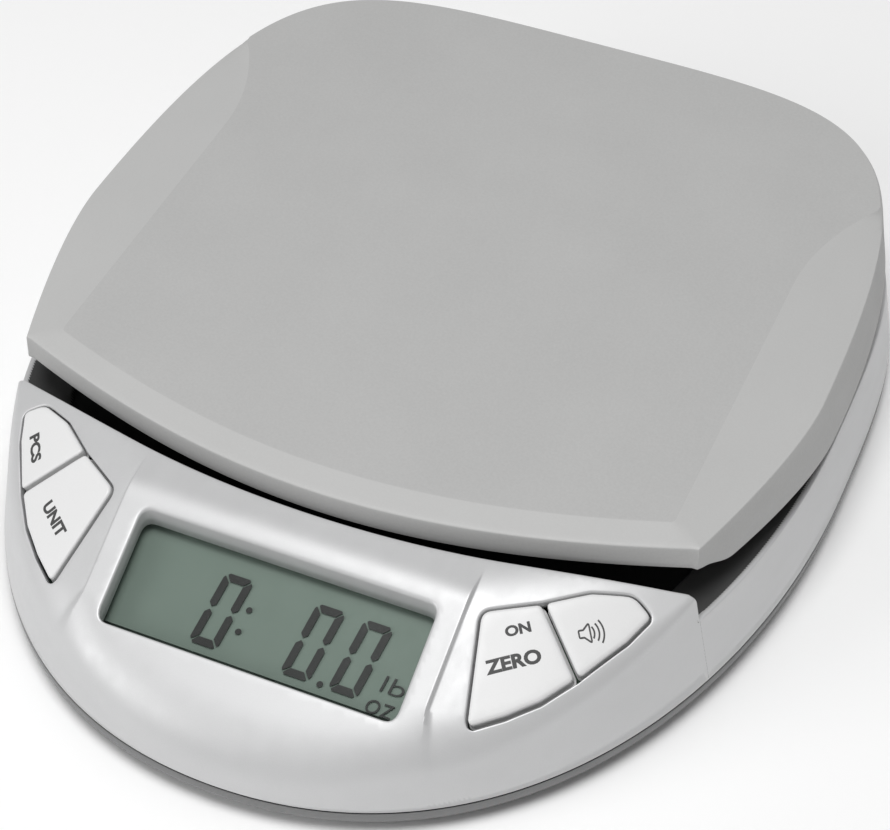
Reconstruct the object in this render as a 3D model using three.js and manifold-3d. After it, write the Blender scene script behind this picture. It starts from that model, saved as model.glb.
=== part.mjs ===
// Compact counter scale with a sloped front deck: a two-part plastic housing, a weighing platform
// carried by a single-point load cell, a slanted liquid crystal display and four sprung keys.
// Millimetres, +Z up, +Y to the back, origin on the supporting surface under the middle.

import * as THREE from 'three';
import { mergeVertices } from 'three/addons/utils/BufferGeometryUtils.js';
import Module from 'manifold-3d';

const wasm = await Module();
wasm.setup();

// ---------------------------------------------------------------- driving dimensions

const GAP = 0.3;                       // clearance left between pieces that touch
const BASE_HALF_WIDTH = 74.2;
const BASE_HALF_DEPTH = 86.5;
const BASE_WIDEST_Y = 14;
const BASE_BOTTOM_Z = 1.2;             // underside of the housing, above the supporting surface
const PARTING_Z = 5.45;                // line between the two housing shells
const SKIN = 2;                        // wall thickness of the housing
const WALL_LEAN = 0.18;                // how far the side wall leans in for each mm of height

const DOME_Y = 11.85;                  // the deck is a cone about a vertical axis at this Y
const CONE_RADIUS = 73;                // at this radius the cone is CONE_HEIGHT high
const CONE_HEIGHT = 27.74;
const CONE_SLOPE = 0.58;
const CREST_Z = 29.6;                  // flat crest of the deck in front of the platform
const CREST_BLEND = 5;

const PANEL_TILT = 27 * Math.PI / 180; // slope of the flat display panel
const PANEL_Y = -63.3;                 // middle of the display window
const PANEL_Z = 23.86;
const PANEL_HALF_WIDTH = 30.5;

const WELL_FLOOR_Z = 16.4;             // floor under the platform
const RIM_Z = 19.6;                    // edge of the housing around the platform
const WELL_INSET = 12;                 // from the housing's outline to the well's step

const PLATFORM_BOTTOM_Z = 28.5;       // of the front edge; the other edges hang SKIRT_DROP lower
const SKIRT_DROP = 3.5;
const SKIRT_Y = [-31.6, -23];          // the lower edge comes down between these
const PLATFORM_EDGE_Z = 33.25;
const PLATFORM_TOP_Z = 34.2;
const PLATFORM_CORNER = [61.6, -31.8];
const PLATFORM_SIDE = [70, 8];
const PLATFORM_REAR_Y = 85.2;
const PLATFORM_FRONT_Y = -44.9;
const PLATFORM_MIDDLE_Y = 20;
const PLATEAU_HALF_WIDTH = 56.2;       // of the flat top, which widens behind PLATEAU_WIDENS_Y
const PLATEAU_WIDENS_Y = 33;
const FRONT_BORDER = 5;                // depth of the sloped border along the front edge
const EDGE_ROUND = 0.6;                // width of the rounded edge where there is no border

const WINDOW_HALF = [26.6, 10.44];
const WINDOW_DROP = 3.7;               // height of the window's walls
const WINDOW_DRAFT = 0.8;
const LENS = { half: [27.8, 11.6], top: -3.4, bottom: -4.5 };
const LCD = { half: [28, 11.3], top: -5.3, bottom: -7.5 };
const PCB = { top: -12, bottom: -13.6 };

const CELL_Y = [-5, 45];               // ends of the load cell
const CELL_Z = [7.2, 13.2];
const CELL_FREE_HOLES = [-1, 7];
const CELL_FIXED_HOLES = [33, 41];
const STOP_Y = 3;
const SHANK = 1.5;                     // radius of the load cell's screws
const SMALL_SHANK = 1.3;               // radius of the other screws

const HOUSING_SCREWS = [[24, -74], [64, 5], [48, 68]];
const PCB_SCREW = [33, -8.5];          // in the display panel's own plane
const PLATFORM_SCREWS = [[30, -9], [30, 51]];
const FEET = [[42, -50], [50, 56]];
const FOOT_RADIUS = 6;

const BATTERY_Y = [55, 66.4];
const BATTERY_Z = 8.6;
const BATTERY_RADIUS = 5.25;
const BATTERY_HALF_LENGTH = 22.25;
const DOOR = { halfWidth: 24.1, y: [48.7, 72.7], top: 2.8 };

// Corners of the right-hand pair of keys in plan; the left-hand pair mirrors it.
const KEY_INNER = [[33.2, -53.2], [41.2, -48.2], [49.9, -55.4], [46.3, -60.5], [42, -64.8], [37.3, -68.6]];
const KEY_OUTER = [[41.8, -47.7], [47.8, -42.9], [54, -39.9], [57.4, -41.2], [55.3, -46.4], [50.5, -54.8]];
const KEY_PROUD = 0.6;                 // height of a key above the deck
const KEY_CLEARANCE = 0.45;
const INNER_SWITCH = [41, 5.5];        // switch places in the display panel's plane
const OUTER_SWITCH = [48.5, 13.2];
const SWITCH_TOP = -8.4;               // top of a switch's plunger, in the display panel's plane
const PLUNGER_BOTTOM = -10.7;
const SWITCH_BODY_TOP = -10.7;

const RING_STEPS = 52;                 // points around a housing ring
const DECK_RINGS = 6;                  // rings from the shoulder to the crest
const DECK_INNER_RADIUS = 54;
const ROD_SIDES = 14;

// ---------------------------------------------------------------- solids

function toSolid(geometry) {
  const bare = geometry.clone();
  for (const name of Object.keys(bare.attributes)) {
    if (name !== 'position') bare.deleteAttribute(name);
  }
  const merged = mergeVertices(bare, 1e-4);
  const corners = merged.index.array;
  const triangles = [];
  for (let i = 0; i < corners.length; i += 3) {
    const [a, b, c] = [corners[i], corners[i + 1], corners[i + 2]];
    if (a !== b && b !== c && c !== a) triangles.push(a, b, c);
  }
  return new wasm.Manifold(new wasm.Mesh({
    numProp: 3,
    vertProperties: new Float32Array(merged.attributes.position.array),
    triVerts: new Uint32Array(triangles),
  }));
}

function toGeometry(solid) {
  const mesh = solid.getMesh();
  const geometry = new THREE.BufferGeometry();
  geometry.setAttribute('position', new THREE.BufferAttribute(new Float32Array(mesh.vertProperties), 3));
  geometry.setIndex(new THREE.BufferAttribute(new Uint32Array(mesh.triVerts), 1));
  geometry.computeVertexNormals();
  return geometry;
}

const join = (first, ...others) => others.reduce((sum, other) => sum.add(other), first);
const cut = (first, ...others) => others.reduce((rest, other) => rest.subtract(other), first);

// A closed solid through rings of equal point counts, with a fan at each end.
function loft(rings) {
  const count = rings[0].length;
  const points = rings.flat();
  const middles = [rings[0], rings[rings.length - 1]].map((ring) => {
    const middle = ring.reduce((sum, p) => [sum[0] + p[0], sum[1] + p[1], sum[2] + p[2]], [0, 0, 0]);
    return middle.map((value) => value / count);
  });
  const vertices = [...points, ...middles];
  const triangles = [];
  const lastRing = (rings.length - 1) * count;
  for (let i = 0; i < count; i += 1) {
    const next = (i + 1) % count;
    for (let k = 0; k < rings.length - 1; k += 1) {
      const low = k * count;
      const high = low + count;
      triangles.push(low + i, low + next, high + next, low + i, high + next, high + i);
    }
    triangles.push(next, i, points.length);
    triangles.push(lastRing + i, lastRing + next, points.length + 1);
  }
  const geometry = new THREE.BufferGeometry();
  geometry.setAttribute('position', new THREE.Float32BufferAttribute(vertices.flat(), 3));
  geometry.setIndex(signedVolume(vertices, triangles) < 0 ? triangles.reverse() : triangles);
  return toSolid(geometry);
}

function signedVolume(vertices, triangles) {
  let volume = 0;
  for (let i = 0; i < triangles.length; i += 3) {
    const [a, b, c] = [0, 1, 2].map((k) => new THREE.Vector3(...vertices[triangles[i + k]]));
    volume += a.dot(b.cross(c)) / 6;
  }
  return volume;
}

function block(x, y, z) {
  const box = new THREE.BoxGeometry(x[1] - x[0], y[1] - y[0], z[1] - z[0]);
  box.translate((x[0] + x[1]) / 2, (y[0] + y[1]) / 2, (z[0] + z[1]) / 2);
  return toSolid(box);
}

function rod(radius, x, y, z, sides = ROD_SIDES) {
  const cylinder = new THREE.CylinderGeometry(radius, radius, z[1] - z[0], sides);
  cylinder.rotateX(Math.PI / 2);
  cylinder.translate(x, y, (z[0] + z[1]) / 2);
  return toSolid(cylinder);
}

function turned(profile, x, y, sides = ROD_SIDES) {
  const lathe = new THREE.LatheGeometry(profile.map(([r, z]) => new THREE.Vector2(r, z)), sides);
  lathe.rotateX(Math.PI / 2);
  lathe.translate(x, y, 0);
  return toSolid(lathe);
}

// A flat plate of any outline, standing from one height to another.
function plate(corners, z) {
  const shape = new THREE.Shape(corners.map(([x, y]) => new THREE.Vector2(x, y)));
  const slab = new THREE.ExtrudeGeometry(shape, { depth: z[1] - z[0], bevelEnabled: false });
  slab.translate(0, 0, z[0]);
  return toSolid(slab);
}

const mirrored = (corners) => corners.map(([x, y]) => [-x, y]).reverse();

// ---------------------------------------------------------------- housing outline and surfaces

const plan = (x, y) => new THREE.Vector2(x, y);
const BASE_CURVES = [
  new THREE.CubicBezierCurve(plan(0, -BASE_HALF_DEPTH), plan(48, -BASE_HALF_DEPTH),
    plan(BASE_HALF_WIDTH, BASE_WIDEST_Y - 54.4), plan(BASE_HALF_WIDTH, BASE_WIDEST_Y)),
  new THREE.CubicBezierCurve(plan(BASE_HALF_WIDTH, BASE_WIDEST_Y),
    plan(BASE_HALF_WIDTH, BASE_WIDEST_Y + 53), plan(71, BASE_HALF_DEPTH), plan(0, BASE_HALF_DEPTH)),
];
const BASE_POLAR = BASE_CURVES.flatMap((curve) => curve.getPoints(80))
  .map((p) => [Math.atan2(p.y - DOME_Y, p.x), Math.hypot(p.x, p.y - DOME_Y)]);

// Distance from the deck's axis to the housing's outline in one direction.
function outlineRadius(angle) {
  const folded = Math.atan2(Math.sin(angle), Math.abs(Math.cos(angle)));
  let k = 1;
  while (k < BASE_POLAR.length - 1 && BASE_POLAR[k][0] < folded) k += 1;
  const [a0, r0] = BASE_POLAR[k - 1];
  const [a1, r1] = BASE_POLAR[k];
  return a1 === a0 ? r0 : THREE.MathUtils.lerp(r0, r1, (folded - a0) / (a1 - a0));
}

const ringAngles = Array.from({ length: RING_STEPS },
  (_, i) => -Math.PI / 2 + i * 2 * Math.PI / RING_STEPS);
const polar = (angle, radius, z) => [radius * Math.cos(angle), DOME_Y + radius * Math.sin(angle), z];
const baseRing = (inset, z) => ringAngles.map((angle) => polar(angle, outlineRadius(angle) - inset, z));

// Height of the conical deck, rounded over into its flat crest.
function coneHeight(radius) {
  const knee = CONE_RADIUS + (CONE_HEIGHT - CREST_Z) / CONE_SLOPE;
  if (radius < knee - CREST_BLEND) return CREST_Z;
  if (radius > knee + CREST_BLEND) return CONE_HEIGHT - CONE_SLOPE * (radius - CONE_RADIUS);
  return CREST_Z - CONE_SLOPE * (radius - knee + CREST_BLEND) ** 2 / (4 * CREST_BLEND);
}

const panelHeight = (y) => Math.min(CREST_Z, PANEL_Z + Math.tan(PANEL_TILT) * (y - PANEL_Y));

// Height of the deck: the cone, with the flat display panel let into it.
function deckHeight(x, y) {
  const cone = coneHeight(Math.hypot(x, y - DOME_Y));
  const across = THREE.MathUtils.smoothstep(PANEL_HALF_WIDTH + 1 - Math.abs(x), 0, 1);
  const along = THREE.MathUtils.smoothstep(y, -81, -76);
  return THREE.MathUtils.lerp(cone, panelHeight(y), y < -40 ? across * along : 0);
}

// The housing's outside in one direction, from the parting line up and over the deck to the middle.
function domeProfile(angle, skin) {
  const radius = outlineRadius(angle) - skin;
  const wallRadius = (z) => radius - WALL_LEAN * (z - PARTING_Z);
  const surface = (r) => {
    const [x, y] = polar(angle, r, 0);
    return deckHeight(x, y) - skin * 1.1;
  };
  let [low, high] = [PARTING_Z, CREST_Z];
  for (let i = 0; i < 30; i += 1) {
    const middle = (low + high) / 2;
    if (surface(wallRadius(middle)) > middle) low = middle;
    else high = middle;
  }
  const facing = THREE.MathUtils.clamp((-Math.sin(angle) - 0.6) / 0.4, 0, 1);
  const soft = 1 + 8 * facing;
  const corner = [wallRadius(low), low];
  const onWall = [wallRadius(low - soft * 0.7), low - soft * 0.7];
  const onDeck = [corner[0] - soft * 0.86, surface(corner[0] - soft * 0.86)];
  const profile = [[wallRadius(PARTING_Z + GAP / 2), PARTING_Z + GAP / 2], onWall];
  for (const t of [0.33, 0.67]) {
    const shares = [(1 - t) ** 2, 2 * t * (1 - t), t * t];
    profile.push([0, 1].map((k) => shares[0] * onWall[k] + shares[1] * corner[k] + shares[2] * onDeck[k]));
  }
  profile.push(onDeck);
  for (let k = 1; k <= DECK_RINGS; k += 1) {
    const r = THREE.MathUtils.lerp(onDeck[0], DECK_INNER_RADIUS, k / DECK_RINGS);
    profile.push([r, surface(r)]);
  }
  return profile;
}

function dome(skin) {
  const profiles = ringAngles.map((angle) => domeProfile(angle, skin));
  if (skin > 0) profiles.forEach((profile) => { profile[0][1] = BASE_BOTTOM_Z; });
  return loft(profiles[0].map((_, k) => profiles.map((profile, i) => polar(ringAngles[i], ...profile[k]))));
}

// Line where the deck ends in front of the platform.
const deckBackY = (x) => -46.4 + 0.0026 * x * x + 1.5e-7 * x ** 4;

// The space under and around the platform, cut out of the dome; skin makes it larger by a wall.
function well(skin) {
  const rings = [
    [(radius) => radius - WELL_INSET + skin, WELL_FLOOR_Z - skin],
    [(radius) => radius - WELL_INSET + 0.6 + skin, WELL_FLOOR_Z + 0.9 - skin],
    [(radius) => radius - WALL_LEAN * (RIM_Z - PARTING_Z) - 0.8, RIM_Z - skin],
    [(radius) => radius + 8, RIM_Z - skin],
    [(radius) => radius + 8, CREST_Z + 20],
  ].map(([reach, z]) => ringAngles.map((angle) => polar(angle, reach(outlineRadius(angle)), z)));
  const front = [];
  for (let k = -10; k <= 10; k += 1) {
    front.push([k * 6.13, deckBackY(k * 6.13) - skin * 0.9]);
  }
  const region = [...front, [95, -33.2 - skin], [95, 110], [-95, 110], [-95, -33.2 - skin]];
  return loft(rings).intersect(plate(region, [5, 70]));
}

// ---------------------------------------------------------------- the display panel's own plane

const panel = new THREE.Group();
panel.position.set(0, PANEL_Y, PANEL_Z);
panel.rotation.x = PANEL_TILT;
panel.updateMatrixWorld(true);
const panelMatrix = panel.matrixWorld;

const fromPanel = (solid) => {
  const geometry = toGeometry(solid);
  geometry.applyMatrix4(panelMatrix);
  return toSolid(geometry);
};

function toPanel([x, y, z]) {
  const p = new THREE.Vector3(x, y, z).applyMatrix4(panelMatrix.clone().invert());
  return [p.x, p.y, p.z];
}

function roundedRectangle(half, radius, lift = 0) {
  const corners = [];
  for (let quarter = 0; quarter < 4; quarter += 1) {
    const sx = quarter === 0 || quarter === 3 ? 1 : -1;
    const sy = quarter < 2 ? 1 : -1;
    for (let k = 0; k <= 3; k += 1) {
      const angle = (quarter + k / 3) * Math.PI / 2;
      corners.push([sx * (half[0] - radius) + radius * Math.cos(angle),
        sy * (half[1] - radius) + radius * Math.sin(angle) + lift]);
    }
  }
  return corners;
}

// The window's walls stand upright, so in the panel's plane they run down its slope.
function windowCut() {
  const slide = (drop) => -drop * Math.sin(PANEL_TILT);
  const ring = (drop, inset) => roundedRectangle(WINDOW_HALF.map((value) => value - inset), 2, slide(drop))
    .map(([x, y]) => [x, y, -drop * Math.cos(PANEL_TILT)]);
  return loft([ring(-3, 0), ring(0, 0), ring(WINDOW_DROP + 0.2, WINDOW_DRAFT)]);
}

// ---------------------------------------------------------------- keys

// An outline with its corners cut off and its straight edges kept.
function softened(corners, radius) {
  const points = [];
  corners.forEach(([x, y], i) => {
    const before = corners[(i + corners.length - 1) % corners.length];
    const after = corners[(i + 1) % corners.length];
    const ends = [before, after].map(([ex, ey]) => {
      const length = Math.hypot(ex - x, ey - y);
      const reach = Math.min(radius, length * 0.45) / length;
      return [x + (ex - x) * reach, y + (ey - y) * reach];
    });
    points.push(...ends);
  });
  return points;
}

function grown(points, distance) {
  return points.map(([x, y], i) => {
    const before = points[(i + points.length - 1) % points.length];
    const after = points[(i + 1) % points.length];
    const [dx, dy] = [after[0] - before[0], after[1] - before[1]];
    const length = Math.hypot(dx, dy);
    return [x + dy / length * distance, y - dx / length * distance];
  });
}

const counterClockwise = (corners) => (THREE.ShapeUtils.area(corners.map(([x, y]) => plan(x, y))) < 0
  ? [...corners].reverse() : corners);
const keyOutline = (corners) => softened(counterClockwise(corners), 1.6);

// Ring of a key's outline in the panel's plane, at a depth below the deck along the key's travel.
function keyRing(outline, depth) {
  return outline.map(([x, y]) => {
    const [px, py, pz] = toPanel([x, y, coneHeight(Math.hypot(x, y - DOME_Y))]);
    return [px, py, pz - depth];
  });
}

// A key with a flange that keeps it under the deck, and a stem or a pocket that meets its switch.
function key(corners, neighbour, [x, y]) {
  const outline = keyOutline(corners);
  const proud = [keyRing(outline, -KEY_PROUD + 0.4), keyRing(grown(outline, -0.5), -KEY_PROUD)];
  const cap = loft([keyRing(outline, 3.4), ...proud]);
  const rim = loft([keyRing(grown(outline, 0.9), 3.4), keyRing(grown(outline, 0.9), 2.7)]);
  const beside = grown(keyOutline(neighbour), 0.9);
  const flange = cut(rim, loft([keyRing(beside, 4), keyRing(beside, 2)]));
  const stem = rod(1.6, x, y, [SWITCH_TOP + GAP, -6]);
  return fromPanel(cut(join(cap, flange, stem), rod(2.2, x, y, [-14, SWITCH_TOP + GAP])));
}

const keyCut = (corners) => {
  const outline = grown(keyOutline(corners), KEY_CLEARANCE);
  return fromPanel(loft([keyRing(outline, 6), keyRing(outline, -4)]));
};

const flangeRoom = (corners) => {
  const outline = grown(keyOutline(corners), 1.4);
  return fromPanel(loft([keyRing(outline, 6), keyRing(outline, 2.35)]));
};

const ALL_KEYS = [KEY_INNER, KEY_OUTER, mirrored(KEY_INNER), mirrored(KEY_OUTER)];

// ---------------------------------------------------------------- housing

const bothSides = (places) => places.flatMap(([x, y]) => [[x, y], [-x, y]]);

function upperHousing() {
  const outside = cut(dome(0), well(0));
  const inside = cut(dome(SKIN + 0.2), well(SKIN));
  const bosses = bothSides(HOUSING_SCREWS).map(([x, y]) => (
    rod(3.4, x, y, [PARTING_Z + GAP / 2, CREST_Z]).intersect(outside)));
  const posts = bothSides([PCB_SCREW]).map(([x, y]) => (
    fromPanel(rod(2.6, x, y, [PCB.top + GAP, 4])).intersect(outside)));
  const collarBlank = fromPanel(plate(roundedRectangle([29.8, 13.2], 1), [LENS.bottom - 0.5, -1]));
  const collar = collarBlank.intersect(outside);
  const lensPocket = fromPanel(plate(roundedRectangle(LENS.half.map((v) => v + GAP), 1),
    [LENS.bottom - 1, LENS.top + 0.05]));
  const displayRoom = fromPanel(block([-29.9, 29.9], [-12.5, 12.5], [-9.7, LENS.bottom - 0.5]));
  const holes = [
    ...bothSides(HOUSING_SCREWS).map(([x, y]) => rod(SMALL_SHANK + GAP, x, y, [0, 11])),
    ...bothSides([PCB_SCREW]).map(([x, y]) => fromPanel(rod(SMALL_SHANK + GAP, x, y, [-20, -7]))),
    block([-16, 16], [-12, 52], [WELL_FLOOR_Z - 6, WELL_FLOOR_Z + 6]),
  ];
  return cut(join(cut(outside, inside), ...bosses, ...posts, collar), lensPocket, fromPanel(windowCut()),
    ...ALL_KEYS.map(keyCut), ...ALL_KEYS.map(flangeRoom), displayRoom, ...holes);
}

function lowerHousing() {
  const top = PARTING_Z - GAP / 2;
  const floor = BASE_BOTTOM_Z + SKIN;
  const shell = cut(
    loft([baseRing(3.6, BASE_BOTTOM_Z), baseRing(1.9, 1.6), baseRing(0.6, 2.7), baseRing(0, 4.2),
      baseRing(0, top)]),
    loft([baseRing(3, floor), baseRing(SKIN, floor + 0.8), baseRing(SKIN, top + 3)]),
  );
  const wall = 1.2;
  const [x, y0, y1] = [DOOR.halfWidth + GAP, DOOR.y[0] - GAP, DOOR.y[1] + GAP];
  const additions = [
    ...bothSides(HOUSING_SCREWS).map(([bx, by]) => rod(4.2, bx, by, [floor - 1, top])),
    block([-7, 7], [30, 45.5], [floor - 1, 5.4]),
    rod(3.4, 0, STOP_Y, [floor - 1, 5.4]),
    cut(block([-x - wall, x + wall], [y0 - wall, y1 + wall], [floor - 1, 12]),
      block([-x, x], [y0, y1], [0, 13])),
  ];
  const cuts = [
    block([-x, x], [y0, y1], [0, floor + 1]),
    ...bothSides(HOUSING_SCREWS).flatMap(([bx, by]) => [
      rod(2.9, bx, by, [0, 3.5]), rod(SMALL_SHANK + GAP, bx, by, [0, 8])]),
    ...CELL_FIXED_HOLES.flatMap((y) => [rod(3, 0, y, [0, 3.5]), rod(SHANK + GAP, 0, y, [0, 8])]),
    rod(SHANK + GAP, 0, STOP_Y, [0, 8]),
    ...bothSides(FEET).map(([fx, fy]) => rod(FOOT_RADIUS + GAP, fx, fy, [0, BASE_BOTTOM_Z + 0.7], 32)),
  ];
  return cut(join(shell, ...additions), ...cuts);
}

function batteryDoor() {
  const { halfWidth, y, top } = DOOR;
  const leaf = block([-halfWidth, halfWidth], y, [BASE_BOTTOM_Z, top]);
  const hook = block([-5, 5], [y[1] - 1.2, y[1] - 0.4], [top - 0.5, top + 1.8]);
  const grips = [4, 6, 8, 10].map((back) => (
    block([-7, 7], [y[1] - back, y[1] - back + 0.8], [0, BASE_BOTTOM_Z + 0.5])));
  return cut(join(leaf, hook), ...grips);
}

function foot(x, y) {
  const profile = [[0, 0], [FOOT_RADIUS - 0.7, 0], [FOOT_RADIUS, 0.5], [FOOT_RADIUS, 1.6], [0, 1.6]];
  return turned(profile, x, y, 28);
}

// ---------------------------------------------------------------- platform and load cell

const platformFrontY = (x) => PLATFORM_FRONT_Y + 29.5 * (x / 87.5) ** 2 - 5.4 * (x / 87.5) ** 4;

// The platform's outline: a bowed front between two sharp corners, then round the sides and back.
function platformOutline() {
  const [cx, cy] = PLATFORM_CORNER;
  const [sx, sy] = PLATFORM_SIDE;
  const side = new THREE.CubicBezierCurve(plan(cx, cy), plan(64.5, -22.8), plan(sx, -4), plan(sx, sy))
    .getPoints(8);
  const rear = new THREE.CubicBezierCurve(plan(sx, sy), plan(sx, 86.8), plan(53, PLATFORM_REAR_Y),
    plan(0, PLATFORM_REAR_Y)).getPoints(18).slice(1);
  const right = [...side, ...rear].map((p) => [p.x, p.y]);
  const left = mirrored(right).slice(1);
  const front = [];
  for (let k = 1; k < 16; k += 1) {
    const x = -cx + k * 2 * cx / 16;
    front.push([x, platformFrontY(x)]);
  }
  return [...right, ...left, ...front];
}

// How far the bottom of the platform's edge stands out, at y, for an edge that faces (nx, ny).
function platformFlare([, ny], y) {
  return ny < -0.75 ? 0 : 0.5 + 2.1 * Math.max(0, 1 - ((y - PLATFORM_MIDDLE_Y) / 50) ** 2);
}

const platformBottom = (y) => PLATFORM_BOTTOM_Z - SKIRT_DROP * THREE.MathUtils.smoothstep(y, ...SKIRT_Y);

// The flat top lies behind the sloped front border and between two side crescents, which run out
// into the rear corners.
function onPlateau(x, y) {
  const side = PLATEAU_HALF_WIDTH + 0.0125 * Math.max(0, y - PLATEAU_WIDENS_Y) ** 2;
  return Math.abs(x) < side && y > platformFrontY(x) + FRONT_BORDER;
}

// The rim of the flat top, with one point on the way from each point of the outline to the middle.
function plateauRing() {
  return platformOutline().map(([x, y]) => {
    const at = (share) => [x * share, PLATFORM_MIDDLE_Y + (y - PLATFORM_MIDDLE_Y) * share];
    let [low, high] = [0.5, 1 - EDGE_ROUND / Math.hypot(x, y - PLATFORM_MIDDLE_Y)];
    if (onPlateau(...at(high))) low = high;
    for (let i = 0; i < 24; i += 1) {
      const middle = (low + high) / 2;
      if (onPlateau(...at(middle))) low = middle;
      else high = middle;
    }
    return [...at(low), PLATFORM_TOP_Z];
  });
}

function platformRing(offset, height) {
  const outline = platformOutline();
  return outline.map(([x, y], i) => {
    const before = outline[(i + outline.length - 1) % outline.length];
    const after = outline[(i + 1) % outline.length];
    const length = Math.hypot(after[0] - before[0], after[1] - before[1]);
    const normal = [(after[1] - before[1]) / length, (before[0] - after[0]) / length];
    const out = offset(normal, y);
    return [x + normal[0] * out, y + normal[1] * out, height(y)];
  });
}

function platform() {
  const underside = 31.2;
  const body = loft([
    platformRing(platformFlare, platformBottom),
    platformRing(() => 0, () => PLATFORM_EDGE_Z),
    plateauRing(),
  ]);
  const hollow = loft([
    platformRing((normal, y) => platformFlare(normal, y) - 2.3, (y) => platformBottom(y) - 1),
    platformRing(() => -2.6, () => underside),
  ]);
  const ribs = [-40, -20, 0, 20, 40].map((x) => (
    block([x - 0.8, x + 0.8], [-30, 70], [underside - 1, underside + 0.5])));
  const bosses = bothSides(PLATFORM_SCREWS).map(([x, y]) => rod(4, x, y, [30.2, underside + 0.5]));
  const holes = bothSides(PLATFORM_SCREWS).map(([x, y]) => rod(SMALL_SHANK + GAP, x, y, [29, 32.6]));
  return cut(join(cut(body, hollow), ...ribs, ...bosses), ...holes);
}

function platformBracket() {
  const top = 29.9;
  const pieces = [
    block([-9, 9], [-14, 56], [top - 2, top]),
    block([-36, 36], [-14, -4], [top - 2, top]),
    block([-36, 36], [46, 56], [top - 2, top]),
    block([-10, 10], [-5, 11], [CELL_Z[1] + GAP, top]),
    block([-1.5, 1.5], [10, 50], [top - 6, top - 1]),
  ];
  const cuts = [
    ...CELL_FREE_HOLES.flatMap((y) => [rod(3.1, 0, y, [16, top + 1]), rod(SHANK + GAP, 0, y, [10, 17])]),
    ...bothSides(PLATFORM_SCREWS).map(([x, y]) => rod(SMALL_SHANK + GAP, x, y, [20, top + 1])),
  ];
  return cut(join(...pieces), ...cuts);
}

function loadCell() {
  const middle = (CELL_Z[0] + CELL_Z[1]) / 2;
  const across = (y) => {
    const hole = new THREE.CylinderGeometry(2.2, 2.2, 20, 20);
    hole.rotateZ(Math.PI / 2);
    hole.translate(0, y, middle);
    return toSolid(hole);
  };
  const slot = block([-10, 10], [16, 24], [middle - 0.6, middle + 0.6]);
  return cut(block([-6, 6], CELL_Y, CELL_Z), across(16), across(24), slot,
    ...[...CELL_FREE_HOLES, ...CELL_FIXED_HOLES].map((y) => rod(SHANK + GAP, 0, y, [0, 20])));
}

const gaugePad = (z) => block([-4.5, 4.5], [13, 27], z);

function loadCellSpacer() {
  return cut(block([-6, 6], [30.5, 45], [5.7, CELL_Z[0] - GAP]),
    ...CELL_FIXED_HOLES.map((y) => rod(SHANK + GAP, 0, y, [0, 20])));
}

// ---------------------------------------------------------------- screws

// A pan-head screw standing on its head at the origin and pointing up.
function screw(headRadius, headHeight, shankRadius, length) {
  return turned([[0, 0], [headRadius - 0.5, 0], [headRadius, 0.5], [headRadius, headHeight],
    [shankRadius, headHeight], [shankRadius, length - 0.8], [0.4, length], [0, length]], 0, 0, 12);
}

const smallScrew = (length) => screw(2.5, 1.5, SMALL_SHANK, length);
const cellScrew = (length) => screw(2.6, 1.6, SHANK, length);

// The cross recess of a screw that can be reached from outside.
function crossed(body) {
  const arm = 1.55;
  return cut(body, block([-arm, arm], [-0.3, 0.3], [-1, 0.9]), block([-0.3, 0.3], [-arm, arm], [-1, 0.9]));
}

function setScrew() {
  const body = turned([[0, 1.6], [SHANK, 1.6], [SHANK, 6.2], [SHANK - 0.5, 6.6], [0, 6.6]], 0, STOP_Y);
  return cut(body, block([-1.2, 1.2], [STOP_Y - 0.3, STOP_Y + 0.3], [1, 2.4]));
}

// ---------------------------------------------------------------- electronics, in the panel's plane

function displayLens() {
  return plate(roundedRectangle(LENS.half, 1), [LENS.bottom, LENS.top]);
}

function lcdPanel() {
  const [hx, hy] = LCD.half;
  return join(block([-hx, hx], [-hy, hy], [LCD.bottom, LCD.bottom + 1.1]),
    block([-hx, hx], [-hy + 1.6, hy], [LCD.bottom + 1, LCD.top]));
}

function lcdFrame() {
  const outer = [29.6, 12.2];
  const inner = LCD.half.map((value) => value + GAP);
  const ring = cut(block([-outer[0], outer[0]], [-outer[1], outer[1]], [-9.4, LCD.top]),
    block([-inner[0], inner[0]], [-inner[1], inner[1]], [LCD.bottom - GAP, 0]));
  return cut(ring, block([-27, 27], [-9.4, 9.4], [-12, 0]));
}

const zebraStrip = (y) => block([-25.5, 25.5], [y - 0.8, y + 0.8], [PCB.top + GAP, LCD.bottom - GAP]);

function mainBoard() {
  const half = [[0, -11], [36, -11], [44, -6], [48.5, 1], [52, 6], [52, 16], [46, 16], [41, 13.5],
    [34, 8.8], [0, 8.8]];
  const corners = [...half, ...mirrored(half).slice(1, -1)];
  return cut(plate(corners, [PCB.bottom, PCB.top]),
    ...bothSides([PCB_SCREW]).map(([x, y]) => rod(SMALL_SHANK + GAP, x, y, [-20, 0])));
}

function switchBody([x, y]) {
  const half = 2.25;
  const body = block([x - half, x + half], [y - half, y + half], [PCB.top + GAP, SWITCH_BODY_TOP]);
  return cut(body, rod(1.6, x, y, [PLUNGER_BOTTOM - 0.5, 0]));
}

const switchPlunger = ([x, y]) => rod(1.2, x, y, [PLUNGER_BOTTOM, SWITCH_TOP]);

const buzzer = () => join(rod(6, -20, -1, [PCB.bottom - 3.2, PCB.bottom - GAP], 24),
  rod(1.4, -20, -1, [PCB.bottom - 3.6, PCB.bottom - 3]));
const controllerChip = () => block([2, 14], [-6, 4], [PCB.bottom - 1.7, PCB.bottom - GAP]);

// ---------------------------------------------------------------- batteries and wires

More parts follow.
